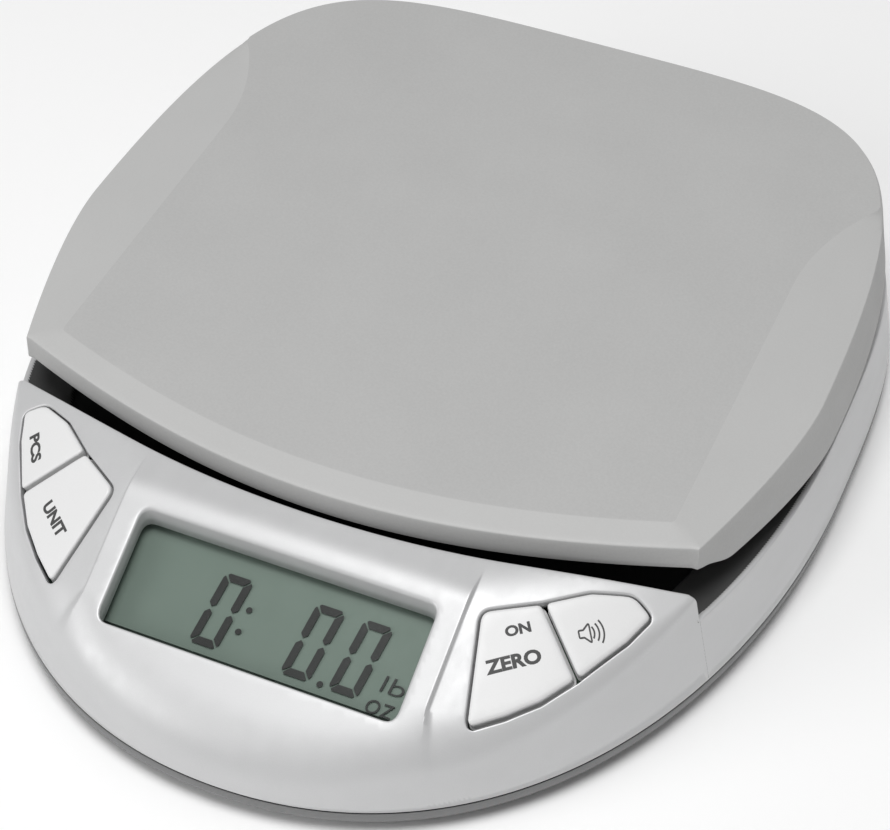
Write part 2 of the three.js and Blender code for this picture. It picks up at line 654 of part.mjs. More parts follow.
function batteryCell(y, direction) {
  const end = BATTERY_HALF_LENGTH;
  const lathe = new THREE.LatheGeometry([[0, -end], [4.9, -end], [BATTERY_RADIUS, -end + 0.5],
    [BATTERY_RADIUS, end - 1.3], [4.9, end - 0.8], [1.9, end - 0.8], [1.9, end], [0, end]]
    .map(([r, z]) => new THREE.Vector2(r, z)), 24);
  lathe.rotateZ(-direction * Math.PI / 2);
  lathe.translate(0, y, BATTERY_Z);
  return toSolid(lathe);
}

function dimple(x, y) {
  const bump = new THREE.CylinderGeometry(1.6, 1.6, 0.9, ROD_SIDES);
  bump.rotateZ(Math.PI / 2);
  bump.translate(x, y, BATTERY_Z);
  return toSolid(bump);
}

const CONTACT_X = BATTERY_HALF_LENGTH + GAP + 0.9;

function bridgeContact() {
  return join(block([-CONTACT_X - 0.5, -CONTACT_X], [BATTERY_Y[0] - 4, BATTERY_Y[1] + 4], [4, 12.6]),
    ...BATTERY_Y.map((y) => dimple(-CONTACT_X + 0.4, y)));
}

function endContact(y) {
  return join(block([CONTACT_X, CONTACT_X + 0.5], [y - 4, y + 4], [4, 13]), dimple(CONTACT_X - 0.4, y),
    block([CONTACT_X, 29.2], [y - 1.2, y + 1.2], [12.5, 13]));
}

function wire(points, radius) {
  const path = new THREE.CatmullRomCurve3(points.map((p) => new THREE.Vector3(...p)), false, 'centripetal');
  const section = new THREE.Shape(Array.from({ length: 8 }, (_, i) => (
    new THREE.Vector2(radius * Math.cos(i * Math.PI / 4), radius * Math.sin(i * Math.PI / 4)))));
  return toSolid(new THREE.ExtrudeGeometry(section, {
    steps: 3 * (points.length - 1), extrudePath: path, bevelEnabled: false,
  }));
}

// ---------------------------------------------------------------- materials

function plastic(color, roughness = 0.5) {
  return new THREE.MeshStandardMaterial({ color, roughness, metalness: 0 });
}

function metal(color, roughness = 0.35) {
  return new THREE.MeshStandardMaterial({ color, roughness, metalness: 1 });
}

const SILVER = new THREE.MeshStandardMaterial({ color: 0xd4d5d6, roughness: 0.38, metalness: 0.35 });
const SILVER_DARK = new THREE.MeshStandardMaterial({ color: 0xb4b6b8, roughness: 0.42, metalness: 0.35 });
const PLATFORM_GREY = plastic(0xb9bab9, 0.6);
const KEY_WHITE = plastic(0xeeefef, 0.4);
const BLACK = plastic(0x1b1c1d, 0.6);
const IVORY = plastic(0xd9d6c8, 0.6);
const RUBBER = plastic(0x3a3a3a, 0.9);
const BOARD = plastic(0x1d6b3c, 0.45);
const LCD_GREEN = plastic(0x78897c, 0.3);
const LENS_CLEAR = new THREE.MeshStandardMaterial({
  color: 0xdfe6e2, roughness: 0.05, transparent: true, opacity: 0.25,
});
const STEEL = metal(0xb8bbbe);
const ALUMINIUM = metal(0xc8cacc, 0.45);
const NICKEL = metal(0xc9c4b8, 0.3);
const RED = plastic(0xb3211c, 0.5);
const SEALANT = plastic(0xe8e8e2, 0.7);
const CELL_WRAP = plastic(0x39536b, 0.35);

// ---------------------------------------------------------------- assembly

const scale = new THREE.Group();
scale.add(panel);

function place(name, solid, material, parent = scale) {
  const mesh = new THREE.Mesh(toGeometry(solid), material);
  mesh.name = name;
  parent.add(mesh);
  return mesh;
}

place('lower_housing', lowerHousing(), SILVER_DARK);
place('upper_housing', upperHousing(), SILVER);
place('battery_door', batteryDoor(), SILVER_DARK);
place('platform', platform(), PLATFORM_GREY);
place('platform_bracket', platformBracket(), BLACK);
place('load_cell', loadCell(), ALUMINIUM);
place('gauge_cover_top', gaugePad([CELL_Z[1] + GAP, CELL_Z[1] + 1]), SEALANT);
place('gauge_cover_bottom', gaugePad([CELL_Z[0] - 1, CELL_Z[0] - GAP]), SEALANT);
place('load_cell_spacer', loadCellSpacer(), STEEL);
place('overload_stop_screw', setScrew(), STEEL);

const [LEFT_INNER, LEFT_OUTER] = [mirrored(KEY_INNER), mirrored(KEY_OUTER)];
const KEYS = [
  ['zero', KEY_INNER, KEY_OUTER, INNER_SWITCH],
  ['sound', KEY_OUTER, KEY_INNER, OUTER_SWITCH],
  ['unit', LEFT_INNER, LEFT_OUTER, [-INNER_SWITCH[0], INNER_SWITCH[1]]],
  ['count', LEFT_OUTER, LEFT_INNER, [-OUTER_SWITCH[0], OUTER_SWITCH[1]]],
];
for (const [name, corners, neighbour, spot] of KEYS) {
  place(`${name}_key`, key(corners, neighbour, spot), KEY_WHITE);
  place(`${name}_switch_body`, switchBody(spot), BLACK, panel);
  place(`${name}_switch_plunger`, switchPlunger(spot), IVORY, panel);
}

place('display_lens', displayLens(), LENS_CLEAR, panel);
place('lcd_panel', lcdPanel(), LCD_GREEN, panel);
place('lcd_frame', lcdFrame(), BLACK, panel);
place('lcd_strip_upper', zebraStrip(7.6), SEALANT, panel);
place('lcd_strip_lower', zebraStrip(-7.6), SEALANT, panel);
place('main_board', mainBoard(), BOARD, panel);
place('buzzer', buzzer(), BLACK, panel);
place('controller_chip', controllerChip(), BLACK, panel);

place('battery_front', batteryCell(BATTERY_Y[0], 1), CELL_WRAP);
place('battery_rear', batteryCell(BATTERY_Y[1], -1), CELL_WRAP);
place('battery_bridge_contact', bridgeContact(), NICKEL);
place('battery_positive_contact', endContact(BATTERY_Y[0]), NICKEL);
place('battery_negative_contact', endContact(BATTERY_Y[1]), NICKEL);

const redRoute = [[30, 55, 12.7], [32.5, 50, 9], [32, 35, 5], [31, 0, 4.8], [29, -35, 5], [24, -52, 7],
  [21, -59, 9.3]];
place('red_wire', wire(redRoute, 0.7), RED);
const blackRoute = [[30, 66.4, 12.7], [34.5, 60, 9], [35, 40, 5], [34, 0, 4.8], [32, -35, 5], [28, -54, 7],
  [25, -59.6, 9.1]];
place('black_wire', wire(blackRoute, 0.7), BLACK);
place('load_cell_cable', wire([[7.4, 22, 10.2], [11, 20, 9], [14, 5, 5.5], [15, -20, 5], [12, -42, 5.5],
  [17, -56, 9]], 1), SEALANT);

bothSides(FEET).forEach(([x, y], i) => {
  place(['front_right', 'front_left', 'rear_right', 'rear_left'][i] + '_foot', foot(x, y), RUBBER);
});

bothSides(HOUSING_SCREWS).forEach(([x, y], i) => {
  place(`housing_screw_${i + 1}`, crossed(smallScrew(8.6)), STEEL).position.set(x, y, 1.7);
});
CELL_FIXED_HOLES.forEach((y, i) => {
  place(`load_cell_screw_${i + 1}`, crossed(cellScrew(10.2)), STEEL).position.set(0, y, 1.6);
});
CELL_FREE_HOLES.forEach((y, i) => {
  const piece = place(`bracket_screw_${i + 1}`, cellScrew(9.6), STEEL);
  piece.position.set(0, y, 17.9);
  piece.rotation.x = Math.PI;
});
bothSides(PLATFORM_SCREWS).forEach(([x, y], i) => {
  place(`platform_screw_${i + 1}`, smallScrew(5.6), STEEL).position.set(x, y, 26.1);
});
bothSides([PCB_SCREW]).forEach(([x, y], i) => {
  place(`board_screw_${i + 1}`, smallScrew(7), STEEL, panel).position.set(x, y, PCB.bottom - 1.8);
});

export default scale;
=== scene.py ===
"""Compact counter scale: finished shells, keys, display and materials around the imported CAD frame.

Shapes are worked out in millimetres from the same driving dimensions as the CAD part and turned
into metres where a mesh is made.
"""

import math

import bpy
import bmesh
import numpy as np
from mathutils import Matrix, Vector
from mathutils.geometry import delaunay_2d_cdt


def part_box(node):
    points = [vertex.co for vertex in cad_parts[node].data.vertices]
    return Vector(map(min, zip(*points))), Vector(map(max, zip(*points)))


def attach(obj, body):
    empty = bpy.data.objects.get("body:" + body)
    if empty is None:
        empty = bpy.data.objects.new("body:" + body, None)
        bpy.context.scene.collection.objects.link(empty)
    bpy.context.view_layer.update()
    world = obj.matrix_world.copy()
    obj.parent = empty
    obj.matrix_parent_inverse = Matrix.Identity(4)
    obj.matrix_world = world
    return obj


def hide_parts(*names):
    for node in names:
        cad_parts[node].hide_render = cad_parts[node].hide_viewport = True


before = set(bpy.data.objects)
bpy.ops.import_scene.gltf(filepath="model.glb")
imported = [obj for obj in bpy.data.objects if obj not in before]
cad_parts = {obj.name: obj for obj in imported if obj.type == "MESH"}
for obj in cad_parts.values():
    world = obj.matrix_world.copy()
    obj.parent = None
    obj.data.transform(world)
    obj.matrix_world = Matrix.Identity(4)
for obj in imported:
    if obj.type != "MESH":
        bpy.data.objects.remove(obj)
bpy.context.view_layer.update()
MM = 0.001

# ---------------------------------------------------------------- driving dimensions, in mm

HALF_WIDTH, HALF_DEPTH, WIDEST_Y = 74.2, 86.5, 14.0
BOTTOM_Z, PARTING_Z, PARTING_GAP = 1.2, 5.45, 0.5
WALL_LEAN = 0.18
DOME_Y = 11.85
CONE_RADIUS, CONE_HEIGHT, CONE_SLOPE = 73.0, 27.74, 0.58
CREST_Z, CREST_BLEND = 29.6, 5.0
SHOULDER_DOWN, SHOULDER_IN = 0.7, 0.86         # reach of the round between wall and deck, at the sides
SHOULDER_SOFTER, SHOULDER_FROM = 8.0, 0.6      # growth of that reach in front, and the sine where it starts
TILT = math.radians(27)
PANEL_Y, PANEL_Z, PANEL_HALF_WIDTH = -63.3, 23.86, 30.5
PANEL_STEP, PANEL_FADE = 0.45, 11.0            # width of its side steps, and what they gain in front
PANEL_FADE_Y = (-76.5, -72.5)
PANEL_BLEND = 0.9                              # half the height of the round between panel and crest
PANEL_NORMAL = np.array([0, -math.sin(TILT), math.cos(TILT)])
PANEL_UP = np.array([0, math.cos(TILT), math.sin(TILT)])
WELL_FLOOR_Z, RIM_Z, WELL_INSET = 16.4, 19.6, 12.0
DECK_BACK_Y, DECK_BACK_END, DECK_BACK_RUN_OUT = -46.4, 61.3, 0.04
DECK_BACK_BEND, DECK_BACK_FOURTH = 0.0026, 1.5e-7
WINDOW_HALF_WIDTH, WINDOW_LOW, WINDOW_HIGH = 26.6, -10.6, 9.5      # in the panel's plane
WINDOW_DROP = 3.7

PLATFORM_CORNER = (61.6, -31.8)
PLATFORM_SIDE = (70.0, 8.0)
PLATFORM_REAR_Y, PLATFORM_FRONT_Y, PLATFORM_MIDDLE_Y = 85.2, -44.9, 20.0
SKIRT_DROP, SKIRT_Y = 3.5, (-31.6, -23.0)      # the lower edge comes down between these
PLATFORM_BOTTOM_Z, PLATFORM_EDGE_Z, PLATFORM_TOP_Z = 28.5, 33.25, 34.2
PLATEAU_HALF_WIDTH, PLATEAU_WIDENS_Y, FRONT_BORDER = 56.2, 33.0, 5.0
PLATEAU_WIDENING = 0.0125
BOW_HALF_WIDTH, BOW_DEPTH, BOW_FLATTENING = 87.5, 29.5, 5.4
FLARE, BELLY_FLARE, BELLY_HALF_LENGTH = 0.5, 2.1, 50.0      # the side wall's lower edge stands out by this
PLATFORM_WALL, PLATFORM_UNDER_Z, RIB_BOTTOM_Z = 2.2, 31.2, 30.2

# Corners of the right-hand pair of keys in plan; the left-hand pair mirrors it.
KEY_INNER = [(33.2, -53.2), (41.2, -48.2), (49.9, -55.4), (46.3, -60.5), (42, -64.8), (37.3, -68.6)]
KEY_OUTER = [(41.8, -47.7), (47.8, -42.9), (54, -39.9), (57.4, -41.2), (55.3, -46.4), (50.5, -54.8)]
INNER_RADII = [2.0, 0.8, 0.8, 4, 4, 0.8]
OUTER_RADII = [0.8, 4, 3, 0.9, 4, 0.8]
KEY_PROUD = 0.6
KEY_CLEARANCE = 0.45
KEY_STEP, KEY_WELL_DEPTH = 0.4, 3.2
KEY_EDGE = 0.55                                # radius of a key's top edge
INK_BOTTOM, INK_TOP = KEY_PROUD - 0.06, KEY_PROUD + 0.025
CAPITALS_LEAN = 0.87                           # of a legend's height, as seen in plan


# ---------------------------------------------------------------- housing surfaces

def bezier(points, count):
    t = np.linspace(0, 1, count)[:, None]
    a, b, c, d = [np.array(p, float) for p in points]
    return a * (1 - t) ** 3 + 3 * b * t * (1 - t) ** 2 + 3 * c * t ** 2 * (1 - t) + d * t ** 3


_half = np.vstack([
    bezier([(0, -HALF_DEPTH), (48, -HALF_DEPTH), (HALF_WIDTH, WIDEST_Y - 54.4), (HALF_WIDTH, WIDEST_Y)], 400),
    bezier([(HALF_WIDTH, WIDEST_Y), (HALF_WIDTH, WIDEST_Y + 53), (71, HALF_DEPTH), (0, HALF_DEPTH)], 400)[1:],
])
OUTLINE_ANGLES = np.arctan2(_half[:, 1] - DOME_Y, _half[:, 0])
OUTLINE_RADII = np.hypot(_half[:, 0], _half[:, 1] - DOME_Y)


def folded(angle):
    return np.arctan2(np.sin(angle), np.abs(np.cos(angle)))


def outline_radius(angle):
    return np.interp(folded(angle), OUTLINE_ANGLES, OUTLINE_RADII)


def inset_at(x, y):
    """How far a place in plan lies inside the housing's outline, on the way to the dome's middle."""
    return outline_radius(np.arctan2(y - DOME_Y, x)) - np.hypot(x, y - DOME_Y)


def smoothstep(value, low, high):
    t = np.clip((value - low) / (high - low), 0, 1)
    return t * t * (3 - 2 * t)


def cone_height(radius):
    knee = CONE_RADIUS + (CONE_HEIGHT - CREST_Z) / CONE_SLOPE
    blend = CREST_Z - CONE_SLOPE * (radius - knee + CREST_BLEND) ** 2 / (4 * CREST_BLEND)
    slope = CONE_HEIGHT - CONE_SLOPE * (radius - CONE_RADIUS)
    return np.where(radius < knee - CREST_BLEND, CREST_Z, np.where(radius > knee + CREST_BLEND, slope, blend))


def panel_height(y):
    """The flat display panel, rounded over into the crest."""
    rise = PANEL_Z + math.tan(TILT) * (y - PANEL_Y)
    over = np.clip((rise - CREST_Z) / PANEL_BLEND, -1, 1)
    soft = CREST_Z - PANEL_BLEND / 4 * (1 - over) ** 2
    return np.where(np.abs(over) < 1, soft, np.minimum(rise, CREST_Z))


def deck_height(x, y):
    cone = cone_height(np.hypot(x, y - DOME_Y))
    width = PANEL_STEP + PANEL_FADE * (1 - smoothstep(y, *PANEL_FADE_Y))
    across = smoothstep(PANEL_HALF_WIDTH + PANEL_STEP / 2 + width / 2 - np.abs(x), 0, width)
    share = np.where(y < -40, across, 0)
    return cone + (panel_height(y) - cone) * share


def shoulder_table():
    """For each direction, the three control points of the round between side wall and deck."""
    angle = np.linspace(-math.pi / 2, math.pi / 2, 721)
    radius = outline_radius(angle)

    def surface(r):
        return deck_height(r * np.cos(angle), DOME_Y + r * np.sin(angle))

    low, high = np.full_like(angle, PARTING_Z), np.full_like(angle, CREST_Z)
    for _ in range(34):
        middle = (low + high) / 2
        above = surface(radius - WALL_LEAN * (middle - PARTING_Z)) > middle
        low, high = np.where(above, middle, low), np.where(above, high, middle)
    soft = 1 + SHOULDER_SOFTER * np.clip((-np.sin(angle) - SHOULDER_FROM) / (1 - SHOULDER_FROM), 0, 1)
    corner = radius - WALL_LEAN * (low - PARTING_Z)
    wall_z = low - soft * SHOULDER_DOWN
    on_wall = radius - WALL_LEAN * (wall_z - PARTING_Z)
    on_deck = corner - soft * SHOULDER_IN
    return angle, np.array([on_wall, wall_z, corner, low, on_deck, surface(on_deck)])


SHOULDER_ANGLES, SHOULDER = shoulder_table()


def shoulder_at(angle):
    """Radius and height of the control points in a direction: on the wall, at the corner, on the deck."""
    return [np.interp(folded(angle), SHOULDER_ANGLES, row) for row in SHOULDER]


def dome_height(x, y):
    """Height of the housing's outside over (x, y), before the well is cut."""
    radius, angle = np.hypot(x, y - DOME_Y), np.arctan2(y - DOME_Y, x)
    r0, z0, r1, z1, r2, z2 = shoulder_at(angle)
    wall = PARTING_Z + (outline_radius(angle) - radius) / WALL_LEAN
    a, b, c = r0 - 2 * r1 + r2, 2 * (r1 - r0), r0 - np.clip(radius, r2, r0)
    t = 2 * c / (-b + np.sqrt(np.maximum(b * b - 4 * a * c, 0)))
    blend = z0 * (1 - t) ** 2 + 2 * z1 * t * (1 - t) + z2 * t * t
    return np.where(radius >= r0, wall, np.where(radius <= r2, deck_height(x, y), blend))


RIM_INSET = WALL_LEAN * (RIM_Z - PARTING_Z)
FIRST_INSET = WALL_LEAN * PARTING_GAP / 2      # of the wall's lower edge, just above the parting line
SHELL = 0.5                                    # thickness of the modelled walls
RIM_EDGE = 0.06                                # inset of the small round between wall and rim
WELL_PROFILE = [                               # inset from the outline and height, from the wall to the floor
    (0, PARTING_Z), (RIM_INSET - RIM_EDGE, RIM_Z - RIM_EDGE / WALL_LEAN), (RIM_INSET + 0.02, RIM_Z - 0.14),
    (RIM_INSET + 0.14, RIM_Z - 0.03), (RIM_INSET + 0.3, RIM_Z), (RIM_INSET + 0.7, RIM_Z),
    (RIM_INSET + 0.86, RIM_Z - 0.05), (RIM_INSET + 1.1, RIM_Z - 0.17),
    (WELL_INSET - 1.0, WELL_FLOOR_Z + 0.98), (WELL_INSET - 0.75, WELL_FLOOR_Z + 0.9),
    (WELL_INSET - 0.6, WELL_FLOOR_Z + 0.75), (WELL_INSET - 0.15, WELL_FLOOR_Z + 0.12),
    (WELL_INSET + 0.1, WELL_FLOOR_Z + 0.02), (WELL_INSET + 0.4, WELL_FLOOR_Z), (200, WELL_FLOOR_Z),
]


def well_height(x, y):
    inset, height = zip(*WELL_PROFILE)
    return np.interp(inset_at(x, y), inset, height)


def deck_back_y(x):
    """The line where the deck ends in front of the platform; past the corners it runs out sideways."""
    inner = np.minimum(np.abs(x), DECK_BACK_END)
    bend = DECK_BACK_Y + DECK_BACK_BEND * inner ** 2 + DECK_BACK_FOURTH * inner ** 4
    return bend + DECK_BACK_RUN_OUT * (np.abs(x) - inner)


# ---------------------------------------------------------------- plane geometry

def resampled(points, step, closed=True):
    """The same line with points about one step apart, keeping its corners' places nearly."""
    points = np.asarray(points, float)
    if closed:
        points = np.vstack([points, points[:1]])
    run = np.concatenate([[0], np.cumsum(np.hypot(*np.diff(points, axis=0).T))])
    count = max(8, int(round(run[-1] / step)))
    at = np.linspace(0, run[-1], count + 1)
    line = np.column_stack([np.interp(at, run, points[:, k]) for k in (0, 1)])
    return line[:-1] if closed else line


LONGEST_REACH = 0.48                           # of a side's length, taken by the round at its end


def rounded(corners, radius, arc_steps=7):
    """A closed outline with each corner turned into an arc, of one radius or of one for each corner."""
    corners = [np.array(c, float) for c in corners]
    radii = np.broadcast_to(np.asarray(radius, float), (len(corners),))
    points = []
    for i, corner in enumerate(corners):
        to_before, to_after = corners[i - 1] - corner, corners[(i + 1) % len(corners)] - corner
        before, after = np.linalg.norm(to_before), np.linalg.norm(to_after)
        half = math.acos(np.clip(to_before @ to_after / before / after, -1, 1)) / 2
        reach = min(radii[i] / math.tan(half), LONGEST_REACH * min(before, after))
        start = corner + to_before / before * reach
        end = corner + to_after / after * reach
        for t in np.linspace(0, 1, arc_steps):
            points.append(start * (1 - t) ** 2 + 2 * corner * t * (1 - t) + end * t * t)
    return np.array(points)


def rectangle(x_low, x_high, y_low, y_high):
    return [(x_high, y_low), (x_high, y_high), (x_low, y_high), (x_low, y_low)]


def grid_over(x_range, y_range, step):
    """Plan points in rows and columns."""
    x, y = np.arange(*x_range, step), np.arange(*y_range, step)
    return np.stack(np.meshgrid(x, y), -1).reshape(-1, 2)


def at_height(plan, z):
    """Plan points lifted to one height, or each to its own."""
    return np.column_stack([plan, np.broadcast_to(np.asarray(z, float), (len(plan),))])


def counter_clockwise(points):
    x, y = np.asarray(points, float).T
    area = np.sum(x * np.roll(y, -1) - y * np.roll(x, -1))
    return list(points) if area > 0 else list(points)[::-1]


def grown(points, distance):
    points = np.asarray(points, float)
    along = np.roll(points, -1, axis=0) - np.roll(points, 1, axis=0)
    along /= np.hypot(*along.T)[:, None]
    return points + distance * np.column_stack([along[:, 1], -along[:, 0]])


def inside(points, polygon):
    x, y = np.asarray(points, float).T
    hit = np.zeros(len(x), bool)
    for (x0, y0), (x1, y1) in zip(polygon, np.roll(polygon, -1, axis=0)):
        if y0 != y1:
            crossing = (y0 > y) != (y1 > y)
            hit ^= crossing & (x < (x1 - x0) * (y - y0) / (y1 - y0) + x0)
    return hit


def distance_to(points, line, closed=True):
    points, line = np.asarray(points, float), np.asarray(line, float)
    ends = np.roll(line, -1, axis=0) if closed else line[1:]
    starts = line if closed else line[:-1]
    best = np.full(len(points), 1e9)
    for a, b in zip(starts, ends):
        step = b - a
        t = np.clip((points - a) @ step / max(step @ step, 1e-12), 0, 1)
        best = np.minimum(best, np.hypot(*(points - a - t[:, None] * step).T))
    return best


def triangulated(points, lines, keep):
    """Triangles over plan points, with the closed or open lines as edges; keep(middles) says which stay."""
    coords = [Vector(p) for p in points]
    edges = []
    for line, closed in lines:
        first = len(coords)
        coords += [Vector(p) for p in line]
        count = len(line)
        edges += [(first + i, first + (i + 1) % count) for i in range(count if closed else count - 1)]
    places, _, faces, *_ = delaunay_2d_cdt(coords, edges, [], 0, 1e-5)
    places = np.array([tuple(p) for p in places])
    faces = np.array([f for f in faces if len(f) == 3])
    return places, faces[keep(places[faces].mean(axis=1))]


# ---------------------------------------------------------------- meshes

def make_piece(name, vertices, faces, body, slot, replaces=(), sharp=38, merge=0.004, material=None,
               second=None, second_where=None):
    """A mesh object from points in mm, smooth except along edges sharper than an angle in degrees.

    Faces whose middle, in mm, meets second_where take the second material.
    """
    mesh = bpy.data.meshes.new(name)
    mesh.from_pydata((np.asarray(vertices, float) * MM).tolist(), [], [list(map(int, f)) for f in faces])
    piece = bpy.data.objects.new(name, mesh)
    bpy.context.scene.collection.objects.link(piece)
    shape = bmesh.new()
    shape.from_mesh(mesh)
    bmesh.ops.remove_doubles(shape, verts=shape.verts, dist=merge * MM)
    bmesh.ops.dissolve_degenerate(shape, edges=shape.edges, dist=1e-7)
    bmesh.ops.recalc_face_normals(shape, faces=shape.faces)
    limit = math.radians(sharp)
    for face in shape.faces:
        face.smooth = True
    for edge in shape.edges:
        edge.smooth = len(edge.link_faces) != 2 or edge.calc_face_angle(0) < limit
    shape.to_mesh(mesh)
    shape.free()
    mesh.materials.append(material)
    if second:
        mesh.materials.append(second)
        for face in mesh.polygons:
            face.material_index = int(second_where(np.array(face.center) / MM))
    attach(piece, body)
    if replaces:
        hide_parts(*replaces)
    return piece


PRINTED = {"merge": 0.0005, "sharp": 20}       # make_piece's settings for thin printed shapes


class Build:
    """Collects the points and faces of one piece."""

    def __init__(self):
        self.points, self.faces, self.count = [], [], 0

    def add(self, points, faces):
        points = np.asarray(points, float)
        self.points.append(points)
        self.faces += [tuple(int(i) + self.count for i in f) for f in faces]
        self.count += len(points)

    def strip(self, lower, upper, closed=True):
        """Faces between two lines of equally many points."""
        count = len(lower)
        last = count if closed else count - 1
        quads = [(i, (i + 1) % count, count + (i + 1) % count, count + i) for i in range(last)]
        self.add(np.vstack([lower, upper]), quads)

    def rings(self, rings, closed=True):
        for lower, upper in zip(rings, rings[1:]):
            self.strip(lower, upper, closed)

    def fan(self, ring):
        """Faces from a ring to its middle."""
        ring = np.asarray(ring, float)
        count = len(ring)
        self.add(np.vstack([ring, ring.mean(axis=0)]), [(i, (i + 1) % count, count) for i in range(count)])

    def made(self, name, body, slot, replaces=(), **looks):
        return make_piece(name, np.vstack(self.points), self.faces, body, slot, replaces, **looks)


# ---------------------------------------------------------------- materials

def blank_material(name):
    """A material with its node tree and its Principled shader."""
    material = bpy.data.materials.new(name)
    material.use_nodes = True
    tree = material.node_tree
    shader = tree.nodes["Principled BSDF"]
    return material, tree, shader


def node(tree, kind, inputs=None, **settings):
    made = tree.nodes.new(kind)
    for key, value in settings.items():
        setattr(made, key, value)
    for key, value in (inputs or {}).items():
        if isinstance(value, bpy.types.NodeSocket):
            tree.links.new(value, made.inputs[key])
        else:
            made.inputs[key].default_value = value
    return made


def noise(tree, per_mm, detail=2.0, roughness=0.5, stretch=(1, 1, 1)):
    """Noise with about per_mm features in each mm of the object."""
    place = node(tree, "ShaderNodeTexCoord")
    mapping = node(tree, "ShaderNodeMapping", {"Vector": place.outputs["Object"], "Scale": stretch})
    return node(tree, "ShaderNodeTexNoise", {
        "Vector": mapping.outputs["Vector"], "Scale": per_mm / MM, "Detail": detail, "Roughness": roughness,
    }).outputs["Fac"]


def spread(tree, value, low, high, from_low=0.3, from_high=0.7):
    return node(tree, "ShaderNodeMapRange", {
        "Value": value, "From Min": from_low, "From Max": from_high, "To Min": low, "To Max": high,
    }).outputs["Result"]


def mixed(tree, share, first, second):
    made = node(tree, "ShaderNodeMix", data_type="RGBA")
    colours = [s for s in made.inputs if s.type == "RGBA"]
    factor = [s for s in made.inputs if s.type == "VALUE"][0]
    for socket, value in ((factor, share), (colours[0], first), (colours[1], second)):
        if isinstance(value, bpy.types.NodeSocket):
            tree.links.new(value, socket)
        else:
            socket.default_value = value
    return [s for s in made.outputs if s.type == "RGBA"][0]


def rgba(value, tint=(1, 1, 1)):
    return (value * tint[0], value * tint[1], value * tint[2], 1)


def moulded(name, base, tint=(1, 1, 1), rough=0.5, grain=1.5, bump=0.02, mottle=0.03, metallic=0.0,
            coat=0.0, wear=0.06, specular=0.5):
    """Moulded or painted plastic: a fine grain, soft mottling, scuffs, and lighter worn edges."""
    material, tree, shader = blank_material(name)
    shader.inputs["Metallic"].default_value = metallic
    shader.inputs["Specular IOR Level"].default_value = specular
    shader.inputs["Coat Weight"].default_value = coat
    shader.inputs["Coat Roughness"].default_value = 0.25
    cloud = spread(tree, noise(tree, 0.05, 3), 0, 1)
    fine = spread(tree, noise(tree, grain, 2, 0.6), 0, 1)
    shade = mixed(tree, cloud, rgba(base * (1 - mottle), tint), rgba(base * (1 + mottle), tint))
    speck = mixed(tree, fine, rgba(base * (1 - 1.6 * mottle), tint), rgba(base * (1 + 1.6 * mottle), tint))
    both = mixed(tree, 0.5, shade, speck)
    edge = node(tree, "ShaderNodeNewGeometry").outputs["Pointiness"]
    worn = spread(tree, edge, 0, wear, 0.52, 0.62)
    colour = mixed(tree, worn, both, rgba(min(1.0, base * 1.25 + 0.03), tint))
    tree.links.new(colour, shader.inputs["Base Color"])
    scuff = noise(tree, 0.35, 4, 0.65, (1, 0.25, 1))
    tree.links.new(spread(tree, scuff, rough * 0.9, rough * 1.12), shader.inputs["Roughness"])
    relief = node(tree, "ShaderNodeBump", {
        "Height": noise(tree, grain, 2, 0.55), "Strength": 0.35, "Distance": bump * MM,
    })
    tree.links.new(relief.outputs["Normal"], shader.inputs["Normal"])
    return material


def metal(name, base, tint=(1, 1, 1), rough=0.35, stretch=(1, 1, 1), grain=2.0):
    material, tree, shader = blank_material(name)
    shader.inputs["Metallic"].default_value = 1
    streak = noise(tree, grain, 3, 0.6, stretch)
    colour = mixed(tree, spread(tree, streak, 0, 1), rgba(base * 0.86, tint), rgba(base * 1.08, tint))
    tree.links.new(colour, shader.inputs["Base Color"])
    tree.links.new(spread(tree, noise(tree, 0.6, 4), rough * 0.8, rough * 1.3), shader.inputs["Roughness"])
    relief = node(tree, "ShaderNodeBump", {"Height": streak, "Strength": 0.3, "Distance": 0.01 * MM})
    tree.links.new(relief.outputs["Normal"], shader.inputs["Normal"])
    return material


LENS_ALPHA, LENS_DARK, LENS_PALE = 0.1, (0.02, 0.024, 0.022, 1), (0.05, 0.06, 0.055, 1)


def clear_plastic(name):
    """A clear lens that hides a tenth of what lies behind it, with faint smears."""
    material, tree, shader = blank_material(name)
    smear = spread(tree, noise(tree, 0.2, 3), 0, 1)
    tree.links.new(mixed(tree, smear, LENS_DARK, LENS_PALE), shader.inputs["Base Color"])
    shader.inputs["Alpha"].default_value = LENS_ALPHA
    tree.links.new(spread(tree, noise(tree, 0.3, 4), 0.06, 0.16), shader.inputs["Roughness"])
    relief = node(tree, "ShaderNodeBump", {
        "Height": noise(tree, 0.8, 2), "Strength": 0.1, "Distance": 0.004 * MM,
    })
    tree.links.new(relief.outputs["Normal"], shader.inputs["Normal"])
    return material


